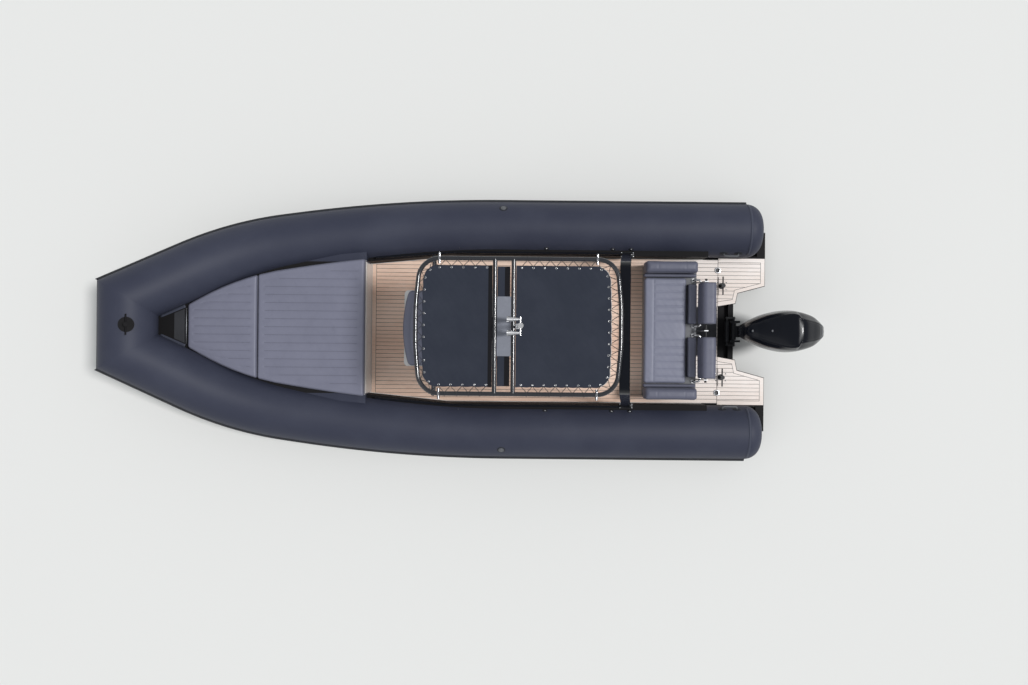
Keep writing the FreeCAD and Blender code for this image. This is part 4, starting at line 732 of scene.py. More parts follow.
def bend(before, corner, after, radius, step=None):
    """Points of a circular bend at a corner: seven, or as many as the step asks for.

    With h half the corner's angle, the bend starts r / tan(h) before the corner, its centre is
    r / sin(h) from it, and it swings by pi - 2 h.
    """
    back, on = unit(before - corner), unit(after - corner)
    half = math.acos(float(np.clip(back @ on, -1.0, 1.0))) / 2.0
    swing = math.pi - 2.0 * half
    centre = corner + unit(back + on) * (radius / math.sin(half))
    first, last = (corner + way * (radius / math.tan(half)) - centre for way in (back, on))
    count = 7 if step is None else max(4, int(swing * radius / step) + 2)
    share = np.linspace(0.0, 1.0, count)[:, None]
    return centre + (np.sin((1 - share) * swing) * first + np.sin(share * swing) * last) / math.sin(swing)


def rounded_path(corners, radii, step):
    """A path through corners with circular bends."""
    corners = np.asarray(corners, float)
    bends = [bend(*near, step) for near in zip(corners, corners[1:], corners[2:], radii)]
    return np.concatenate([corners[:1], *bends, corners[-1:]])


def bar_parts(path, profile, up=UP, closed=False):
    """A profile carried along a path, with flat ends unless the path is closed.

    At each point p of the path with tangent t, side = t x up and lift = side x t;
    a profile point (a, b) goes to p + a * side + b * lift.
    """
    path, profile = np.asarray(path, float), np.asarray(profile, float)
    tangent = unit(np.roll(path, -1, 0) - np.roll(path, 1, 0) if closed else np.gradient(path, axis=0))
    side = unit(np.cross(tangent, up))
    lift = np.cross(side, tangent)
    points = path[:, None] + profile[None, :, :1] * side[:, None] + profile[None, :, 1:] * lift[:, None]
    shape = points.shape[:2]
    return points.reshape(-1, 3), grid_faces(*shape, True, True).tolist() if closed else tube_faces(*shape)


def turned(profile, centre, axis=(0.0, 0.0, 1.0), sides=24):
    """A turned form: (radius, height) pairs carried round an axis, closed at both ends."""
    axis = unit(np.asarray(axis, float))
    one = unit(np.cross(axis, (0.0, 1.0, 0.0) if abs(axis[1]) < 0.9 else (1.0, 0.0, 0.0)))
    around = ring(1.0, sides) @ np.stack([one, np.cross(axis, one)])
    profile = np.asarray(profile, float)[:, None]
    points = np.asarray(centre, float) + profile[..., :1] * around + profile[..., 1:] * axis
    return points.reshape(-1, 3), tube_faces(len(profile), sides, flip=True)


def block(low, high, bevel):
    """A block with chamfered edges.

    Four rings of eight points: each corner has two points, which meet where the ring is drawn in
    by the chamfer, at the block's foot and at its top.
    """
    low, high = np.asarray(low, float), np.asarray(high, float)
    bevel = min(bevel, 0.45 * float((high - low).min()))
    tall = high[2] - low[2]
    points = []
    for z, inset in ((0.0, bevel), (bevel, 0.0), (tall - bevel, 0.0), (tall, bevel)):
        cut = bevel - inset
        for a, b in ((0, 0), (1, 0), (1, 1), (0, 1)):
            x = high[0] - inset if a else low[0] + inset
            y = high[1] - inset if b else low[1] + inset
            pair = [(x - cut if a else x + cut, y), (x, y - cut if b else y + cut)]
            points += [(*point, low[2] + z) for point in (pair[::-1] if a == b else pair)]
    return np.array(points), tube_faces(4, 8, flip=True)


print("bar and turning tools ready")

# %% [markdown]
# ## Sewn cushions
# A boxed cushion is a top panel, a border band, a bottom panel and piping at both seams. The top panel
# starts as a square grid. It is bent to the cushion's outline, its corners are rounded and its sides are
# pulled in between the corners, as the foam pulls a real cover. Its height is the sum of a crown, a
# rolled edge and the sewn lines, which dip like a crease.

# %% Cushion surfaces
PIPING = 0.0042


def stops(length, step, roll):
    """Distances along one side, close together where the edges roll."""
    rolled = roll * (1.0 - np.cos(np.linspace(0.0, math.pi / 2.0, 7)))
    middle = np.linspace(roll, length - roll, max(4, int((length - 2 * roll) / step) + 1))
    return np.concatenate([rolled[:-1], middle, length - rolled[-2::-1]])


def crease(distance, depth, width):
    """A sewn line: depth * exp(-|distance| / width)."""
    return depth * np.exp(-np.abs(distance) / width)


def nearest(values, lines):
    """Distance from each value to the nearest of some lines."""
    return np.abs(np.asarray(values)[..., None] - np.asarray(lines)).min(-1)


def smooth_step(value, low, high):
    """0 below the low value, 1 above the high one, s^2 (3 - 2 s) between them."""
    share = np.clip((value - low) / (high - low), 0.0, 1.0)
    return share * share * (3.0 - 2.0 * share)


def quarter_round(share):
    """Height of a rolled edge: sqrt(1 - (1 - s)^2), with s from 0 at the edge to 1."""
    return np.sqrt(1.0 - (1.0 - np.clip(share, 0.0, 1.0)) ** 2)


def pucker(x, y, size=0.0007):
    """Small folds of the cover: a sum of sines that never line up."""
    waves = ((61.0, 17.0, 0.0), (-29.0, 43.0, 1.3), (97.0, 71.0, 0.4))
    return size * sum(np.sin(a * x + b * y + c) for a, b, c in waves) / 3.0


def corner_shift(to_end, to_side, corner):
    """How far points move outward along and across, so that a square corner gets rounded.

    With u and v how deep a point lies in the corner, both shrink by 1 - max(u, v) / hypot(u, v).
    """
    u, v = np.maximum(corner - to_end, 0.0), np.maximum(corner - to_side, 0.0)
    shrink = np.where((u > 0) & (v > 0), np.maximum(u, v) / np.maximum(np.hypot(u, v), 1e-9) - 1.0, 0.0)
    return u * shrink, v * shrink


def loop_normals(loop):
    """Outward normals of an anticlockwise loop in its first two axes."""
    ahead = np.roll(loop, -1, 0) - np.roll(loop, 1, 0)
    return unit(np.stack([ahead[:, 1], -ahead[:, 0]], 1))


print("cushion surfaces ready")

# %% Boxed cushions


def boxed_cushion(length, half, thick, roll, corner, crown, step, fine,
                  pull=0.004, belly=0.003, relief=None):
    """Skin and piping of a cushion from x = 0 to length, |y| up to half(x), z from 0 to thick.

    With d the distance to the nearest side, the rolled edge rises by
    roll * sqrt(1 - (1 - d / roll)^2); with a and b from -1 to 1 along and across,
    the crown is crown * (1 - a^4) * (1 - b^4).
    """
    widths = half if callable(half) else (lambda x: np.full_like(x, half))
    widest = float(np.max(widths(np.linspace(0.0, length, 9))))
    along = stops(length - 2 * PIPING, step, roll) + PIPING
    across = stops(2 * widest, fine, roll) / widest - 1.0
    x, b = np.meshgrid(along, across, indexing="ij")
    a = 2.0 * x / length - 1.0
    reach = widths(x) - PIPING
    to_end = np.minimum(x - PIPING, length - PIPING - x)
    to_side = (1.0 - np.abs(b)) * reach
    shift_x, shift_y = corner_shift(to_end, to_side, corner)
    x = x + np.sign(a) * (shift_x - pull * (1.0 - b ** 2) * np.abs(a) ** 5)
    y = b * reach + np.sign(b) * (shift_y - pull * (1.0 - a ** 2) * np.abs(b) ** 5)
    edge = np.minimum(to_end, to_side)
    z = thick - roll + roll * quarter_round(edge / roll) + crown * (1.0 - a ** 4) * (1.0 - b ** 4)
    z = z + pucker(x, y) * smooth_step(edge, 0.0, roll)
    if relief:
        z = z + relief(x, y, edge)
    top = grid_points(x, y, z).reshape(-1, 3)
    rim = rim_order(*x.shape)
    seam = top[rim]
    outward = np.pad(loop_normals(seam), ((0, 0), (0, 1)))
    low_z = 0.35 * roll
    band = [seam * (FLAT + (1 - t) * UP) + outward * (belly * math.sin(math.pi * t)) + UP * (low_z * t)
            for t in np.linspace(0.0, 1.0, 7)[1:]]
    under = [seam * FLAT - outward * (low_z * s) + UP * (low_z * (1 - s)) for s in (0.4, 0.8, 1.0)]
    rings = np.concatenate(band + under)
    middle = (top * FLAT).mean(0)
    bottom = middle + (top * FLAT - middle) * (1.0 - 1.1 * low_z / widest)
    below = len(top) + len(rings)
    faces = grid_faces(*x.shape).tolist() + grid_faces(*x.shape, start=below)[:, ::-1].tolist()
    hoops = [rim, *(len(top) + np.arange(len(rings)).reshape(-1, len(rim))), below + rim]
    for one, two in zip(hoops, hoops[1:]):
        faces += hoop_faces(one, two)
    pipes = []
    for line in (seam, band[-1]):
        loop = even_loop(line, 0.012)
        loop[:, 2] = line[:, 2].mean()
        pipes.append(bar_parts(loop, ring(PIPING, 6), closed=True))
    return (np.concatenate([top, rings, bottom]), faces), gathered(pipes)


def placed(parts, *where):
    """A cushion's skin and piping, laid at one place."""
    return [moved_to(part, *where) for part in parts]


def upholster(name, parts, finish, body, nodes):
    """Publish a cushion with its piping in place of the plain solids."""
    cushion = publish(name, parts[0], finish, body)
    publish(name + "_piping", parts[1], PIPING_VINYL, body)
    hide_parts(*nodes)
    print(name, len(parts[0][0]), "points")


print("cushion tools ready")

# %% [markdown]
# ## Bow sun pad
# Two cushions fill the bow between the tubes. Their outlines follow the tubes, so each has its half
# widths at seven stations. The sewn channels run lengthwise and fade out before a plain border.

# %% Bow sun pad
PAD_LOW = 0.6346
PAD_THICK = 0.088
PAD_BORDER = 0.075
PADS = (
    ("rear", (4.205, 4.402, 4.599, 4.796, 4.993, 5.190, 5.387),
     (0.7626, 0.7400, 0.7145, 0.6863, 0.6554, 0.6222, 0.5761)),
    ("front", (5.393, 5.5208, 5.6487, 5.7765, 5.9043, 6.0322, 6.160),
     (0.5744, 0.5363, 0.4915, 0.4397, 0.3800, 0.3119, 0.2387)),
)


def pad_channels(x, y, edge):
    """Sewn lines at every whole pitch across, with a soft pillow between two lines."""
    pillow = np.cos(y / CHANNEL * 2.0 * math.pi) * 0.0012
    inside = smooth_step(edge, PAD_BORDER * 0.7, PAD_BORDER)
    return -inside * (crease(nearest(y, CHANNEL * np.arange(-8, 9)), 0.0052, 0.0085) + pillow)


for name, stations, widths in PADS:
    parts = boxed_cushion(
        stations[-1] - stations[0], lambda x: np.interp(x + stations[0], stations, widths), PAD_THICK,
        roll=0.024, corner=0.02, crown=0.008, pull=0.0015, relief=pad_channels, step=0.016, fine=0.0055)
    upholster(f"sun_pad_{name}", placed(parts, (stations[0], 0.0, PAD_LOW)), SUNPAD_VINYL,
              f"{name}_bow_hatch", [f"bow_cushion_{name}"])

# %% [markdown]
# ## Seats
# The stern bench has six channels on each side of a plain middle, and a rolled front edge behind a
# cross seam. The armrests are bolsters with a low ledge inside, and the rear pads are plain foam in
# covers. All are boxed cushions, and differ in their sizes and sewn lines.

# %% Stern bench
SEAT = 0.5723
BOARD_GAP = 0.0006
BENCH_AFT, BENCH_FRONT, BENCH_HALF = 0.632, 1.100, 0.589
ROLL_SEAM = 0.994 - BENCH_AFT
CHANNEL_LINES = 0.105 + 0.082 * np.arange(7)


def bench_seams(x, y, edge):
    """Channels behind the cross seam, on both sides of the plain middle."""
    behind = smooth_step(ROLL_SEAM - x, 0.0, 0.012) * smooth_step(edge, 0.004, 0.018)
    channels = crease(nearest(np.abs(y), CHANNEL_LINES), 0.0060, 0.0080)
    cross = crease(x - ROLL_SEAM, 0.0065, 0.0070) * smooth_step(edge, 0.0, 0.02)
    return -np.maximum(behind * channels, cross)


parts = boxed_cushion(BENCH_FRONT - BENCH_AFT, BENCH_HALF, 0.070, roll=0.022, corner=0.03, crown=0.010,
                      pull=0.003, relief=bench_seams, step=0.007, fine=0.006)
upholster("bench_seat_cushion", placed(parts, (BENCH_AFT, 0.0, SEAT + 0.0147)), SEAT_VINYL, "bench_seat",
          ["bench_cushion"])

# %% Armrests and rear pads
ARM_FROM, ARM_TO, ARM_INNER, ARM_OUTER, ARM_TALL = 0.520, 1.105, 0.634, 0.767, 0.208
LEDGE_INNER, LEDGE_TALL = 0.5955, 0.084


def bolster_seams(x, y, edge):
    """A lengthwise seam inside of the bolster's crown and two cross tucks."""
    lines = np.maximum(crease(y + 0.036, 0.0050, 0.0060), crease(nearest(x, (0.14, 0.445)), 0.0030, 0.0060))
    return -lines * smooth_step(edge, 0.0, 0.02)


ARMREST = (
    # inner side, outer side, height, shape
    (ARM_INNER, ARM_OUTER, ARM_TALL,
     dict(roll=0.045, corner=0.035, crown=0.006, belly=0.004, relief=bolster_seams, step=0.009)),
    (LEDGE_INNER, ARM_INNER, LEDGE_TALL,
     dict(roll=0.015, corner=0.012, crown=0.002, belly=0.0, pull=0.0, step=0.010)),
)
arms = [placed(boxed_cushion(ARM_TO - ARM_FROM, (outer - inner) / 2, tall, fine=0.005, **shape),
               (ARM_FROM, (inner + outer) / 2, SEAT + BOARD_GAP)) for inner, outer, tall, shape in ARMREST]
upholster("armrest_bolsters", [paired(parts) for parts in zip(*arms)], BLOCK_VINYL, "boat",
          ["armrests"])

parts = boxed_cushion(0.098, 0.225, 0.084, roll=0.020, corner=0.018, crown=0.004, pull=0.002, step=0.010,
                      fine=0.010)
pads = [placed(parts, (0.513, y, SEAT + BOARD_GAP)) for y in (0.297, -0.297)]
upholster("rear_bench_pads", [gathered(parts) for parts in zip(*pads)], SEAT_VINYL, "boat",
          ["rear_pads"])

# %% [markdown]
# Each backrest block turns on a shaft, so its cover leaves a slot for the shaft along its underside.
# The section is one closed line with rounded corners and the slot; it is carried along the shaft and
# drawn in at both ends as a rolled edge.

# %% Backrest blocks
BLOCK_AFT, BLOCK_FORE = 0.362, 0.512
BLOCK_LOW, BLOCK_HIGH = DECK + 0.470, DECK + 0.740
SHAFT_X, SHAFT_Z = 0.437, DECK + 0.545
SLOT = 0.019
BLOCK_ROLL = 0.014


def rounded_section(corners, radii):
    """A closed section (x, z) with circular corners, anticlockwise."""
    corners = np.asarray(corners, float)
    sides = zip(np.roll(corners, 1, 0), corners, np.roll(corners, -1, 0), radii)
    return np.concatenate([bend(*near) for near in sides])


def refined(section, step):
    """The closed section with more points on its long runs."""
    out = []
    for one, two in zip(section, np.roll(section, -1, 0)):
        count = max(1, int(np.linalg.norm(two - one) / step))
        out.append(one + (two - one) * np.linspace(0.0, 1.0, count, endpoint=False)[:, None])
    return np.concatenate(out)


def slotted_block(y_from, y_to):
    """Skin and piping of a block between two ends.

    The section is drawn in by roll * (1 - sqrt(1 - (1 - d / roll)^2)) at distance d from an end.
    """
    section = refined(rounded_section(
        ((BLOCK_AFT, BLOCK_LOW), (SHAFT_X - SLOT, BLOCK_LOW), (SHAFT_X - SLOT, SHAFT_Z + SLOT),
         (SHAFT_X + SLOT, SHAFT_Z + SLOT), (SHAFT_X + SLOT, BLOCK_LOW), (BLOCK_FORE, BLOCK_LOW),
         (BLOCK_FORE, BLOCK_HIGH), (BLOCK_AFT, BLOCK_HIGH)),
        (0.022, 0.008, 0.012, 0.012, 0.008, 0.022, 0.045, 0.045),
    ), 0.012)
    normal = loop_normals(section)
    length = y_to - y_from
    at = stops(length, 0.012, BLOCK_ROLL)
    drawn = BLOCK_ROLL * (1.0 - quarter_round(np.minimum(at, length - at) / BLOCK_ROLL))
    puff = 0.004 * (1.0 - (2.0 * at / length - 1.0) ** 4)
    seam = crease(nearest(at, (0.150, 0.300)), 0.0045, 0.0070)
    beside_slot = smooth_step(np.abs(section[:, 0] - SHAFT_X), SLOT, SLOT + 0.01)
    above_slot = smooth_step(section[:, 1], SHAFT_Z + 0.03, SHAFT_Z + 0.05)
    offset = (puff - seam)[:, None] * np.clip(beside_slot + above_slot, 0.0, 1.0) - drawn[:, None]
    points = grid_points(section[:, 0] + normal[:, 0] * offset, (y_from + at)[:, None],
                         section[:, 1] + normal[:, 1] * offset)
    pipes = []
    for row in (3, len(at) - 4):
        loop = even_loop(points[row] + np.insert(normal, 1, 0.0, axis=1) * 0.001, 0.010)
        pipes.append(bar_parts(loop, ring(0.004, 6), up=(0.0, 1.0, 0.0), closed=True))
    return (points.reshape(-1, 3), tube_faces(*points.shape[:2])), gathered(pipes)


for name, y_from, y_to in (("port", 0.072, 0.522), ("starboard", -0.522, -0.072)):
    upholster(f"backrest_block_{name}", slotted_block(y_from, y_to), BLOCK_VINYL, f"backrest_{name}",
              [f"backrest_{name}"])

# %% [markdown]
# The seat ahead of the console bows a little at its front edge, so its points are drawn back towards
# both sides. The helm seat and its backrest have channels along them, inside a plain border.

# %% Helm and front seats


def front_seam(x, y, edge):
    """One sewn line across the front seat."""
    return -crease(x - 0.245, 0.0055, 0.0075) * smooth_step(edge, 0.0, 0.022)


def helm_channels(x, y, edge):
    """Channels along the helm seat, inside a plain border."""
    return -crease(nearest(y, 0.085 * np.arange(-6, 7)), 0.0055, 0.0080) * smooth_step(edge, 0.0375, 0.05)


STANDING = ((0, 0, 1), (0, -1, 0), (1, 0, 0))
SEATS = (
    # name, length, half width, thickness, bow, origin, axes unless level, relief, solid it stands for
    ("front_seat_pad", 0.336, 0.419, 0.084, 0.070, (3.454, 0.0, SEAT + 0.0009), (),
     front_seam, "front_seat_cushion"),
    ("helm_seat_pad", 0.350, 0.424, 0.084, 0.0, (1.660, 0.0, 0.8609), (),
     helm_channels, "helm_seat_cushion"),
    ("helm_back_pad", 0.300, 0.414, 0.064, 0.0, (1.5903, 0.0, 0.9003), STANDING,
     helm_channels, "helm_backrest"),
)
for name, length, half, thick, bow, origin, axes, relief, node in SEATS:
    parts = boxed_cushion(length, half, thick, roll=0.022, corner=0.04, crown=0.008, relief=relief,
                          step=0.009, fine=0.007)
    for points, _ in parts:
        points[:, 0] -= bow * (points[:, 1] / half) ** 2 * points[:, 0] / length
    upholster(name, placed(parts, origin, *axes), SEAT_VINYL, "boat", [node])

# %% [markdown]
# ## Laced canvas
# Each roof panel is one sheet, stretched inside the bowed ring. Its edge is hemmed and drawn in a
# little between the eyelets, it sags by its own weight, and small folds fan out from each eyelet. A
# simulation would give the same stretched shape, so the surface is worked out directly.

# %% Roof ring and canvas surface
ROOF_Z = DECK + 2.0003
TUBE = 0.021
EYELET_PITCH = 0.110
EYELET_INSET = 0.018
CANVAS_HALF = 0.570
CANVAS_CORNER = 0.13
CANVAS_BOW = 0.018
SAG = 0.016
HEM = 0.030
RING_HALF = rounded_path(
    [(1.547, 0.0, ROOF_Z), (1.547, 0.190, ROOF_Z), (1.587, 0.633, ROOF_Z), (3.430, 0.633, ROOF_Z),
     (3.470, 0.190, ROOF_Z), (3.470, 0.0, ROOF_Z)], (1.6, 0.2, 0.2, 1.6), 0.01)
RING_LINE = resampled(np.concatenate([RING_HALF, RING_HALF[::-1] * (1, -1, 1)]), 0.004)


def to_ring(point):
    """Nearest point of the ring's centreline, and the level direction to it."""
    place = RING_LINE[int(np.argmin(((RING_LINE[:, :2] - point[:2]) ** 2).sum(1)))]
    return place, unit((place - point) * FLAT)


def canvas_surface(aft, fore, end):
    """Both faces of a hemmed sheet between two edges, and the line of its rim.

    The laced end (end = 1 fore, -1 aft) has round corners and bows out by bow * (1 - b^2).
    Height: -sag * (1 - a^2)(1 - b^2), a hem twice as thick as the cloth, and folds
    0.0016 * cos(2 pi s / pitch) * exp(-edge / 0.05) from eyelet to eyelet.
    """
    along = stops(fore - aft, 0.010, 0.012) / (fore - aft)
    across = stops(2 * CANVAS_HALF, 0.010, 0.012) / CANVAS_HALF - 1.0
    u, b = np.meshgrid(along, across, indexing="ij")
    a = 2.0 * u - 1.0
    x = aft + u * (fore - aft)
    laced = fore - x if end > 0 else x - aft
    to_side = (1.0 - np.abs(b)) * CANVAS_HALF
    shift_x, shift_y = corner_shift(laced, to_side, CANVAS_CORNER)
    x = x + end * (shift_x + CANVAS_BOW * (1.0 - b ** 2) * np.clip((end * a + 1.0) / 2.0, 0, 1) ** 2)
    y = b * CANVAS_HALF + np.sign(b) * shift_y
    laced_edge = np.minimum(laced, to_side)
    edge = np.minimum(laced_edge, x - aft if end > 0 else fore - x)
    first_eyelet = 3.208 if end > 0 else 1.771
    wave = np.cos(2.0 * math.pi * (np.where(to_side < laced, x, y) - first_eyelet) / EYELET_PITCH)
    pull = 0.004 * (1.0 - wave) / 2.0 * np.exp(-laced_edge / 0.02)
    x = np.where(laced < to_side, x - end * pull, x)
    y = np.where(to_side <= laced, y - np.sign(b) * pull, y)
    middle = ROOF_Z - SAG * (1.0 - a ** 2) * (1.0 - b ** 2) + 0.0016 * wave * np.exp(-laced_edge / 0.05)
    middle = middle + pucker(x, y, 0.0012)
    thick = 0.0008 + 0.0008 * (1.0 - smooth_step(edge, HEM - 0.001, HEM + 0.001))
    thick = thick - 0.0005 * np.exp(-((edge - HEM + 0.004) / 0.0012) ** 2)
    top, low = (grid_points(x, y, z).reshape(-1, 3) for z in (middle + thick, middle - thick))
    return (np.concatenate([top, low]), sheet_faces(*x.shape)), top[rim_order(*x.shape)]


print("roof ring", round(float(lengths_along(RING_LINE)[-1]), 2), "m round")

# %% Eyelets and lacing


def eyelet_places(rim, aft, fore, end):
    """Points along the laced part of the rim, one pitch apart and a little inside it."""
    from_plain = end * (rim[:, 0] - (aft if end > 0 else fore))
    order = np.argsort(np.arctan2(rim[:, 1], from_plain - 0.2))
    line = resampled(rim[order[from_plain[order] > 0.02]], 0.002)
    length = lengths_along(line)[-1]
    count = int(round((length - 0.06) / EYELET_PITCH)) + 1
    places = points_at(line, np.linspace(0.03, length - 0.03, count))
    return np.array([place - to_ring(place)[1] * EYELET_INSET for place in places])


def eyelet(place):
    """A turned metal ring pressed into the hem, with its washer below."""
    section = np.array([(0.0052, -0.0022), (0.0105, -0.0022), (0.0112, 0.0),
                        (0.0100, 0.0022), (0.0076, 0.0032), (0.0052, 0.0022)])
    around = np.pad(ring(1.0, 16), ((0, 0), (0, 1)))[:, None]
    points = place + section[:, :1] * around + section[:, 1:] * UP
    return points.reshape(-1, 3), grid_faces(16, 6, True, True).tolist()


def eased(path, times):
    """The path with its corners eased by averaging neighbours."""
    path = np.array(path, float)
    for _ in range(times):
        path[1:-1] = (path[:-2] + 2.0 * path[1:-1] + path[2:]) / 4.0
    return path


def lace_path(places):
    """A cord through the eyelets: up through one, over the ring, round it and back under to the next.

    Seven points go round the ring, each given by its shares of the radius outward and up.
    """
    over_ring = ((-0.5, 0.87), (0.0, 1.0), (0.71, 0.71), (1.0, 0.0),
                 (0.71, -0.71), (0.0, -1.0), (-0.5, -0.87))
    path = [places[0] - UP * 0.006]
    for one, two in zip(places[:-1], places[1:]):
        ring_place, away = to_ring((one + two) / 2.0)
        path += [one + UP * 0.005, one + UP * 0.006 + away * 0.012]
        path += [ring_place + (away * out + UP * high) * (TUBE + LACE_RADIUS) for out, high in over_ring]
        path += [two - UP * 0.006 + away * 0.012, two - UP * 0.006]
    path.append(places[-1] + UP * 0.006)
    return eased(resampled(np.array(path), 0.005), 2)


PANELS = (
    # name, aft edge, fore edge, laced end, cloth cut
    ("aft", 1.655, 2.532, -1, (1.140, 0.895)),
    ("front", 2.753, 3.395, 1, (1.140, 0.660)),
)
LACE_RADIUS = 0.003
lace_parts = []
for name, aft, fore, end, cut in PANELS:
    part, rim = canvas_surface(aft, fore, end)
    panel = publish(f"roof_canvas_{name}", part, CANVAS)
    places = eyelet_places(rim, aft, fore, end)
    rings = publish(f"canvas_eyelets_{name}", gathered([eyelet(p) for p in places]), STEEL)
    path = lace_path(places)
    lace_parts.append(bar_parts(path, ring(LACE_RADIUS, 6), up=(0.31, 0.17, 0.93)))
    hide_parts(f"canvas_{name}")
    length = round(float(lengths_along(path)[-1]), 2)
    print("canvas", name, len(part[0]), "points,", len(places), "eyelets, lace", length, "m")
    if name == "aft":
        edge = rim[rim[:, 0] < aft + 0.10]
        edge = eased(resampled(edge[np.argsort(edge[:, 1])], 0.006), 4) - (0.0025, 0.0, 0.0)
        publish("canvas_edge_cord", bar_parts(edge, ring(0.0026, 8)), PALE_CORD)
lacing = publish("canvas_lacing", gathered(lace_parts), LACE)
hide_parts("lacing")

# %% Cloth between the crossbars
x, y = np.meshgrid(np.linspace(2.588, 2.706, 9), np.linspace(0.279, 0.560, 40), indexing="ij")
dip = -0.004 * np.sin((x - x[0, 0]) / (x[-1, 0] - x[0, 0]) * math.pi)
top = grid_points(x, y, ROOF_Z + 0.004 + dip).reshape(-1, 3)
cloth = (np.concatenate([top, top - 0.0016 * UP]), sheet_faces(*x.shape))
for name, part in (("port", cloth), ("starboard", mirrored(cloth))):
    strip = publish(f"roof_strip_{name}", part, CANVAS)
print("cloth strips between the crossbars")

# %% [markdown]
# ## Outboard cowl
# The cowl's outlines run smoothly from the steering end to the pointed tail. Each of its dimensions is
# a curve along the engine, and a section is drawn from six of them. The flat lid is set off by a
# narrow groove.

# %% Cowl
COWL_LOW = 0.640
COWL_ROLL = 0.012
COWL = np.array((
    # x, foot, waist, shoulder, lid edge, shoulder z, lid z
    (-0.814, 0.040, 0.046, 0.040, 0.026, 0.865, 0.905),
    (-0.770, 0.082, 0.104, 0.094, 0.062, 0.905, 0.990),
    (-0.640, 0.150, 0.188, 0.166, 0.098, 1.012, 1.128),
    (-0.470, 0.182, 0.227, 0.206, 0.124, 1.088, 1.246),
    (-0.430, 0.183, 0.229, 0.212, 0.168, 1.092, 1.247),
    (-0.380, 0.181, 0.227, 0.211, 0.176, 1.088, 1.232),
    (-0.200, 0.150, 0.192, 0.180, 0.136, 1.034, 1.142),
    (-0.060, 0.106, 0.138, 0.127, 0.086, 0.962, 1.056),
    (0.030, 0.068, 0.086, 0.080, 0.050, 0.912, 1.000),
    (0.056, 0.044, 0.052, 0.048, 0.030, 0.892, 0.955),
))


def flowing(at, knots, values):
    """A smooth curve through knots that doesn't overshoot: cubic pieces with harmonic-mean slopes."""
    knots, values = np.asarray(knots, float), np.asarray(values, float)
    step = np.diff(knots)
    slope = np.diff(values) / step
    product, total = slope[:-1] * slope[1:], slope[:-1] + slope[1:]
    inner = np.where(product > 0, 2.0 * product / np.where(total == 0, 1.0, total), 0.0)
    tangent = np.concatenate([[slope[0]], inner, [slope[-1]]])
    i = np.clip(np.searchsorted(knots, at) - 1, 0, len(step) - 1)
    t = (at - knots[i]) / step[i]
    return ((1 + 2 * t) * (1 - t) ** 2 * values[i] + t * (1 - t) ** 2 * step[i] * tangent[i]
            + t * t * (3 - 2 * t) * values[i + 1] + t * t * (t - 1) * step[i] * tangent[i + 1])


def cowl_sections(at, drawn):
    """Half sections (y, z) at stations, drawn in toward the middle near both ends."""
    curves = [flowing(at, COWL[:, 0], column) for column in COWL[:, 1:].T]
    foot, waist, shoulder, lid, shoulder_z, lid_z = curves
    t = np.linspace(0.0, 1.0, 26)
    knots = np.array([0.0, 0.34, 0.74, 1.0])
    flank_y = np.array([flowing(t, knots, values) for values in zip(foot, waist, shoulder, lid)])
    flank_z = np.array([flowing(t, knots, (COWL_LOW, 0.79, s, e)) for s, e in zip(shoulder_z, lid_z)])
    groove_in = np.array([0.004, 0.007, 0.010, 0.016])
    groove_up = np.array([-0.0005, -0.0045, -0.0045, 0.0005])
    rest = np.linspace(1.0, 0.0, 12)[1:]
    lid, lid_z = lid[:, None], lid_z[:, None]
    lid_y = np.concatenate([lid - groove_in, (lid - groove_in[-1]) * rest], 1)
    y = np.concatenate([flank_y, np.maximum(lid_y, 0.0)], 1)
    z = np.concatenate([flank_z, lid_z + groove_up, lid_z + 0.0005 + 0.007 * (1.0 - rest ** 2)], 1)
    centre_z = (COWL_LOW + lid_z) / 2.0
    return y * drawn[:, None], centre_z + (z - centre_z) * (0.3 + 0.7 * drawn[:, None])


def cowl_mesh():
    """Both half sections at each station, with rolled ends."""
    tail, nose = COWL[0, 0], COWL[-1, 0]
    rolled = COWL_ROLL * (1.0 - np.cos(np.linspace(0.0, math.pi / 2.0, 5)))
    at = np.concatenate([tail + rolled, np.linspace(tail + 0.02, nose - 0.02, 90), nose - rolled[::-1]])
    drawn = 0.55 + 0.45 * quarter_round(np.minimum(at - tail, nose - at) / COWL_ROLL)
    y, z = cowl_sections(at, drawn)
    port = grid_points(at[:, None], y, z)
    section = np.concatenate([port, port[:, -2::-1] * (1, -1, 1)], 1)
    return section.reshape(-1, 3), tube_faces(*section.shape[:2], flip=True)


engine_cowl = publish("engine_cowl", cowl_mesh(), COWL_PAINT, "engine")
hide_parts("cowl")
print("cowl", len(engine_cowl.data.vertices), "points")

# %% [markdown]
# ## Tubes and deck fittings
# Small fittings are placed by their seats: a tape, a patch or a handle follows the round of its tube,
# a valve stands square on it, and a bolt stands on its plate. The boat is even on both sides, so only
# the port ones are worked out.

# %% Tube tapes, handles, valves and studs
TUBE_Y, TUBE_Z, TUBE_R = 1.155, 0.330, 0.305
HANDLE_ENDS, HANDLE_ANGLE, HANDLE_STAND = (0.012, 0.178), 27.0, 0.034
VALVE_X, VALVE_ANGLE = 2.680, 132.0
STUDS_X, STUD_ANGLE = (3.430, 3.170, 2.190, 1.440, 1.235), 38.0
VALVE = ((0.031, -0.003), (0.031, 0.005), (0.028, 0.0075), (0.0215, 0.0075), (0.0205, 0.0055),
         (0.0190, 0.0055), (0.0180, 0.0085), (0.0150, 0.0105), (0.0030, 0.0110))
STUD = ((0.011, -0.003), (0.011, 0.0060), (0.0085, 0.0090), (0.0040, 0.0105), (0.0010, 0.0108))


def on_tube(x, degrees, stand_off=0.0):
    """Points on the straight part of the port tube, degrees up from the inner side."""
    angle = np.radians(degrees)
    reach = TUBE_R + stand_off
    return grid_points(x, TUBE_Y - reach * np.cos(angle), TUBE_Z + reach * np.sin(angle))


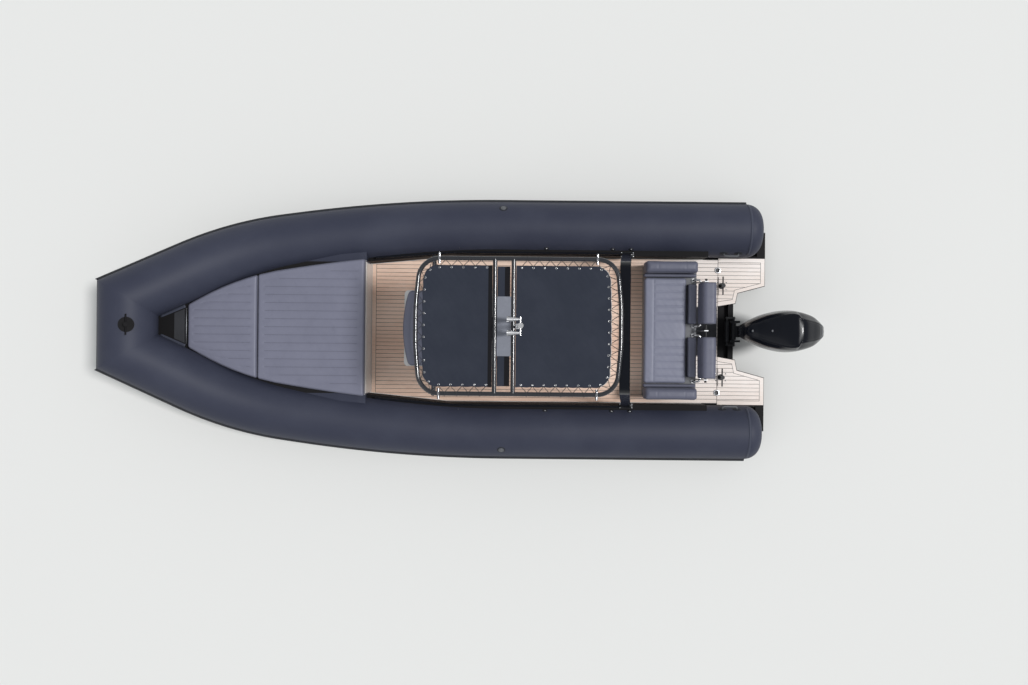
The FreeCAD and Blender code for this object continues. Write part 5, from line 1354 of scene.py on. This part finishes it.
def tape(x, width, thick=0.0014):
    """A thin welded tape over the top of the tube, with eased edges."""
    half = width / 2.0
    profile = [(thick * 0.4, -half), (thick, 0.002 - half), (thick, half - 0.002),
               (thick * 0.4, half), (-0.001, half), (-0.001, -half)]
    return bar_parts(on_tube(x, np.linspace(22.0, 168.0, 60)), profile, up=(1.0, 0.0, 0.0))


def oval_patch(x, degrees, half_length=0.050, half_width=0.034, thick=0.005, sides=28):
    """A rubber patch bent to the tube; its thickness falls off as (1 - r^4)."""
    angle = np.linspace(0.0, 2.0 * math.pi, sides, endpoint=False)
    r, turn = (part.ravel() for part in np.meshgrid(np.linspace(0.0, 1.0, 9)[1:], angle, indexing="ij"))
    swing = np.degrees(half_width * r * np.sin(turn) / TUBE_R)
    top = on_tube(x + half_length * r * np.cos(turn), degrees + swing)
    outward = unit((top - (0.0, TUBE_Y, TUBE_Z)) * (0.0, 1.0, 1.0))
    high = top + outward * (thick * (1.0 - r ** 4))[:, None]
    base = top[-sides:] - outward[-sides:] * 0.002
    points = np.vstack([on_tube(x, degrees, thick), high, base, on_tube(x, degrees, -0.002)])
    k, last = np.arange(sides), 1 + 8 * sides
    after = (k + 1) % sides
    faces = [[0, 1 + a, 1 + b] for a, b in zip(k, after)]
    faces += [[len(points) - 1, last + b, last + a] for a, b in zip(k, after)]
    return points, faces + grid_faces(9, sides, wrap_columns=True, start=1).tolist()


def grab_handle(x_from, x_to, degrees):
    """A bowed grip between two patches."""
    corners = [on_tube(x_from, degrees, 0.002), on_tube(x_from + 0.006, degrees, HANDLE_STAND),
               on_tube(x_to - 0.006, degrees, HANDLE_STAND), on_tube(x_to, degrees, 0.002)]
    return bar_parts(rounded_path(corners, (0.02, 0.02), 0.004), ring(0.0095, 14), up=(0.0, 0.3, 1.0))


def on_round(shape, x, degrees):
    """A turned fitting whose axis stands square on the tube."""
    centre = on_tube(x, degrees)
    return turned(shape, centre, centre - (x, TUBE_Y, TUBE_Z), sides=26)


def publish_pairs(rows):
    """Publish each row's parts together with their mirror images."""
    for name, parts, finish, slot in rows:
        publish(name, paired(parts), finish)
        print(name, 2 * len(parts))


patches = [oval_patch(VALVE_X, VALVE_ANGLE, 0.048, 0.046, 0.003)]
patches += [oval_patch(x, STUD_ANGLE, 0.030, 0.024, 0.004) for x in STUDS_X]
publish_pairs((
    # name, parts of the port side, finish, slot
    ("tube_seam_tapes", [tape(-0.100, 0.030)], SHEEN_TAPE_CLOTH, "collar"),
    ("handle_patches", [oval_patch(x, HANDLE_ANGLE) for x in HANDLE_ENDS], PATCH_RUBBER, "collar"),
    ("grab_handles", [grab_handle(*HANDLE_ENDS, HANDLE_ANGLE)], GREY_PLASTIC, "rail_black"),
    ("tube_valves", [on_round(VALVE, VALVE_X, VALVE_ANGLE)], GREY_PLASTIC, "rail_black"),
    ("tube_patches", patches, PATCH_RUBBER, "collar"),
    ("tube_studs", [on_round(STUD, x, STUD_ANGLE) for x in STUDS_X], STEEL, "steel"),
))

# %% Bolts, caps and plates
PLATE_LOW, PLATE_TOP = 0.5003, 0.5063
LEG_X, LEG_Y, LEG_TOP, LEG_BOLTS = 3.365, 0.475, 1.2763, 0.035
CAP_AT = (0.187, 0.712, DECK + 0.0003)
CAP = ((0.026, -0.001), (0.026, 0.0058), (0.0245, 0.0068), (0.0225, 0.0068), (0.0215, 0.0060),
       (0.004, 0.0064))
CAP_RIM = ((0.038, -0.001), (0.038, 0.003), (0.034, 0.0046), (0.027, 0.0046), (0.004, 0.0040))


def dome_bolt(x, y, z, radius=0.006):
    """A round-headed bolt on its washer, drawn in shares of its radius."""
    shape = [(radius * 1.5, -0.001), (radius * 1.5, 0.0012), (radius, 0.0014),
             (radius * 0.92, radius * 0.35), (radius * 0.6, radius * 0.58), (radius * 0.2, radius * 0.66)]
    return turned(shape, (x, y, z), sides=14)


bolts = [dome_bolt(x, y, PLATE_TOP) for x in (1.208, 1.342) for y in (0.835, 0.875)]
bolts += [dome_bolt(LEG_X + LEG_BOLTS * math.cos(t), LEG_Y + LEG_BOLTS * math.sin(t), LEG_TOP, 0.0045)
          for t in np.radians((30.0, 150.0, 270.0))]
bolts += [dome_bolt(x, y, DECK + 0.0002, 0.005) for x in (0.085, 0.195) for y in (0.49, 0.57)]
BONDED = ((-0.017, -0.001), (0.017, -0.001), (0.017, 0.0006), (0.014, 0.0020), (-0.014, 0.0020),
          (-0.017, 0.0006))
bond_line = resampled(np.array([(6.210, 0.222, 0.6500), (6.486, 0.106, 0.6500)]), 0.02)
foot_plate = block((1.198, 0.824, PLATE_LOW), (1.352, 0.886, PLATE_TOP), 0.002)
publish_pairs((
    ("arch_foot_plates", [foot_plate], SATIN_BLACK, "arch"),
    ("deck_bolts", bolts, STEEL, "steel"),
    ("deck_cap_rims", [turned(CAP_RIM, CAP_AT, sides=36)], STEEL, "steel"),
    ("deck_filler_caps", [turned(CAP, CAP_AT, sides=36)], BLACK_PLASTIC, "dark_plate"),
    ("bow_bonding_tapes", [bar_parts(bond_line, BONDED)], SHEEN_TAPE_CLOTH, "collar"),
))

# %% Passage panel and bow trim
passage = block((0.192, -0.285, DECK + 0.0003), (0.493, 0.285, DECK + 0.0045), 0.002)
publish("passage_panel", passage, NON_SLIP)
trim = block((6.192, -0.200, 0.6495), (6.204, 0.200, 0.6560), 0.001)
publish("bow_hatch_trim", trim, ALLOY)
print("passage panel and bow trim")

# %% [markdown]
# ## Helm
# The dash slopes 35 degrees. Its screen, gauges and switches are laid out in the slope's own axes and
# then turned onto it. None of them shows in the photograph, so they are plain ones of the usual sizes.

# %% Dash instruments
DASH_LOW = np.array((2.8386, 0.0, 1.1103))
DASH_HIGH = np.array((3.0700, 0.0, 1.2703))
UP_SLOPE = unit(DASH_HIGH - DASH_LOW)
OFF_SLOPE = np.array((-UP_SLOPE[2], 0.0, UP_SLOPE[0]))
PANEL = 0.0083
GAUGE_RIM = ((0.043, -0.001), (0.043, 0.006), (0.039, 0.0085), (0.034, 0.0075), (0.033, 0.0030),
             (0.002, 0.0030))
GAUGE_DIAL = ((0.0335, 0.0028), (0.0335, 0.0036), (0.002, 0.0037))
GAUGES = [(up, y) for y in (-0.245, 0.245) for up in (0.095, 0.205)]


def on_dash(parts):
    """Parts drawn with x up the slope and z off it, laid on the dash panel as one."""
    return moved_to(gathered(parts), DASH_LOW + PANEL * OFF_SLOPE, UP_SLOPE, (0.0, 1.0, 0.0), OFF_SLOPE)


hands = [block((up - 0.004, y - 0.0012, 0.0036), (up + 0.024, y + 0.0012, 0.0046), 0.0004)
         for up, y in GAUGES]
rockers = [block((0.035, y - 0.011, 0.0), (0.062, y + 0.011, 0.006 + 0.002 * (k % 2)), 0.002)
           for k, y in enumerate(np.arange(-0.125, 0.126, 0.05))]
ON_DASH = (
    ("chart_plotter", [block((0.068, -0.130, 0.0), (0.252, 0.130, 0.009), 0.004)], BLACK_PLASTIC, "dash"),
    ("chart_plotter_screen", [block((0.080, -0.118, 0.008), (0.240, 0.118, 0.0100), 0.0008)], SCREEN_GLASS,
     "screen"),
    ("gauge_rims", [turned(GAUGE_RIM, (*at, 0.0), sides=40) for at in GAUGES], STEEL, "dash"),
    ("gauge_dials", [turned(GAUGE_DIAL, (*at, 0.0), sides=40) for at in GAUGES], DIAL, "screen"),
    ("gauge_hands", hands, WHITE_PLASTIC, "screen"),
    ("dash_rockers", rockers, BLACK_PLASTIC, "dash"),
)
for name, parts, finish, slot in ON_DASH:
    publish(name, on_dash(parts), finish)
print("dash:", len(GAUGES), "gauges,", len(rockers), "rockers")

# %% Windscreen rubber and trim
SCREEN_HALF = 0.375
across = np.linspace(-SCREEN_HALF, SCREEN_HALF, 60)
bowed = (across / SCREEN_HALF) ** 2
foot_line = grid_points(3.285 - 0.085 * bowed, across, 1.2722)
top_line = grid_points(3.175 - 0.080 * bowed, across * 0.88, 1.6016)
publish("windscreen_rubber", bar_parts(foot_line, ring(0.006, 10, 0.7)), BLACK_PLASTIC)
publish("windscreen_trim", bar_parts(top_line, ring(0.0045, 10)), SATIN_BLACK)
print("windscreen edges")

# %% Console door and seat plate
DOOR = 0.4373
OUTWARD = (0.0, 1.0, 0.0)
LATCH = ((0.022, -0.001), (0.022, 0.004), (0.018, 0.006), (0.016, 0.006), (0.015, 0.010), (0.004, 0.011))
SCREW = ((0.0045, 0.0), (0.0040, 0.0012), (0.0010, 0.0016))
door_parts = [turned(LATCH, (3.195, DOOR, 0.680), OUTWARD, 28),
              block((3.1885, DOOR + 0.0095, 0.662), (3.2015, DOOR + 0.0150, 0.698), 0.002)]
for z in (0.460, 0.900):
    door_parts.append(block((2.894, DOOR - 0.0005, z - 0.030), (2.930, DOOR + 0.0025, z + 0.030), 0.001))
    door_parts.append(turned([(0.0055, -0.031), (0.0055, 0.031)], (2.8945, DOOR + 0.004, z), sides=16))
    door_parts += [turned(SCREW, (2.917, DOOR + 0.0024, z + lift), OUTWARD, 12) for lift in (-0.018, 0.018)]
publish("console_door_fittings", gathered(door_parts), STEEL, "console_hatch")
edge_line = rounded_path([(1.575, -0.430, 0.865), (1.575, -0.430, 1.2003), (1.575, 0.430, 1.2003),
                          (1.575, 0.430, 0.865)], (0.004, 0.004), 0.002)
edge_parts = bar_parts(edge_line, ring(0.0052, 16, 2.75), up=(1.0, 0.0, 0.0))
publish("helm_plate_edge", edge_parts, BLACK_PLASTIC)
print("door fittings", len(door_parts))

# %% Cowl buttons
BUTTON = ((0.013, -0.006), (0.013, 0.0015), (0.010, 0.0028), (0.003, 0.0032))
on_lid = np.array((-0.010, -0.190))
lid_top = flowing(on_lid, COWL[:, 0], COWL[:, 6]) + 0.0060
buttons = gathered([turned(BUTTON, (x, 0.0, z)) for x, z in zip(on_lid, lid_top)])
publish("cowl_buttons", buttons, GREY_PLASTIC, "engine")
print("cowl buttons", len(on_lid))

# %% [markdown]
# ## Floor
# A plain pale floor at the waterline catches the boat's shadow. It belongs to the studio and not to the
# boat, so it rides on nothing.

# %% Floor
FLOOR_HALF = 60.0
floor_mesh = bpy.data.meshes.new("studio_floor")
floor_corners = [(FLOOR_HALF * a, FLOOR_HALF * b, 0) for a, b in ((-1, -1), (1, -1), (1, 1), (-1, 1))]
floor_mesh.from_pydata(floor_corners, [], [(0, 1, 2, 3)])
floor_mesh.materials.append(Finish("pale_floor", (0.72, 0.72, 0.70), Roughness=0.9).material)
floor = bpy.data.objects.new("studio_floor", floor_mesh)
scene.collection.objects.link(floor)
print("floor at the waterline")
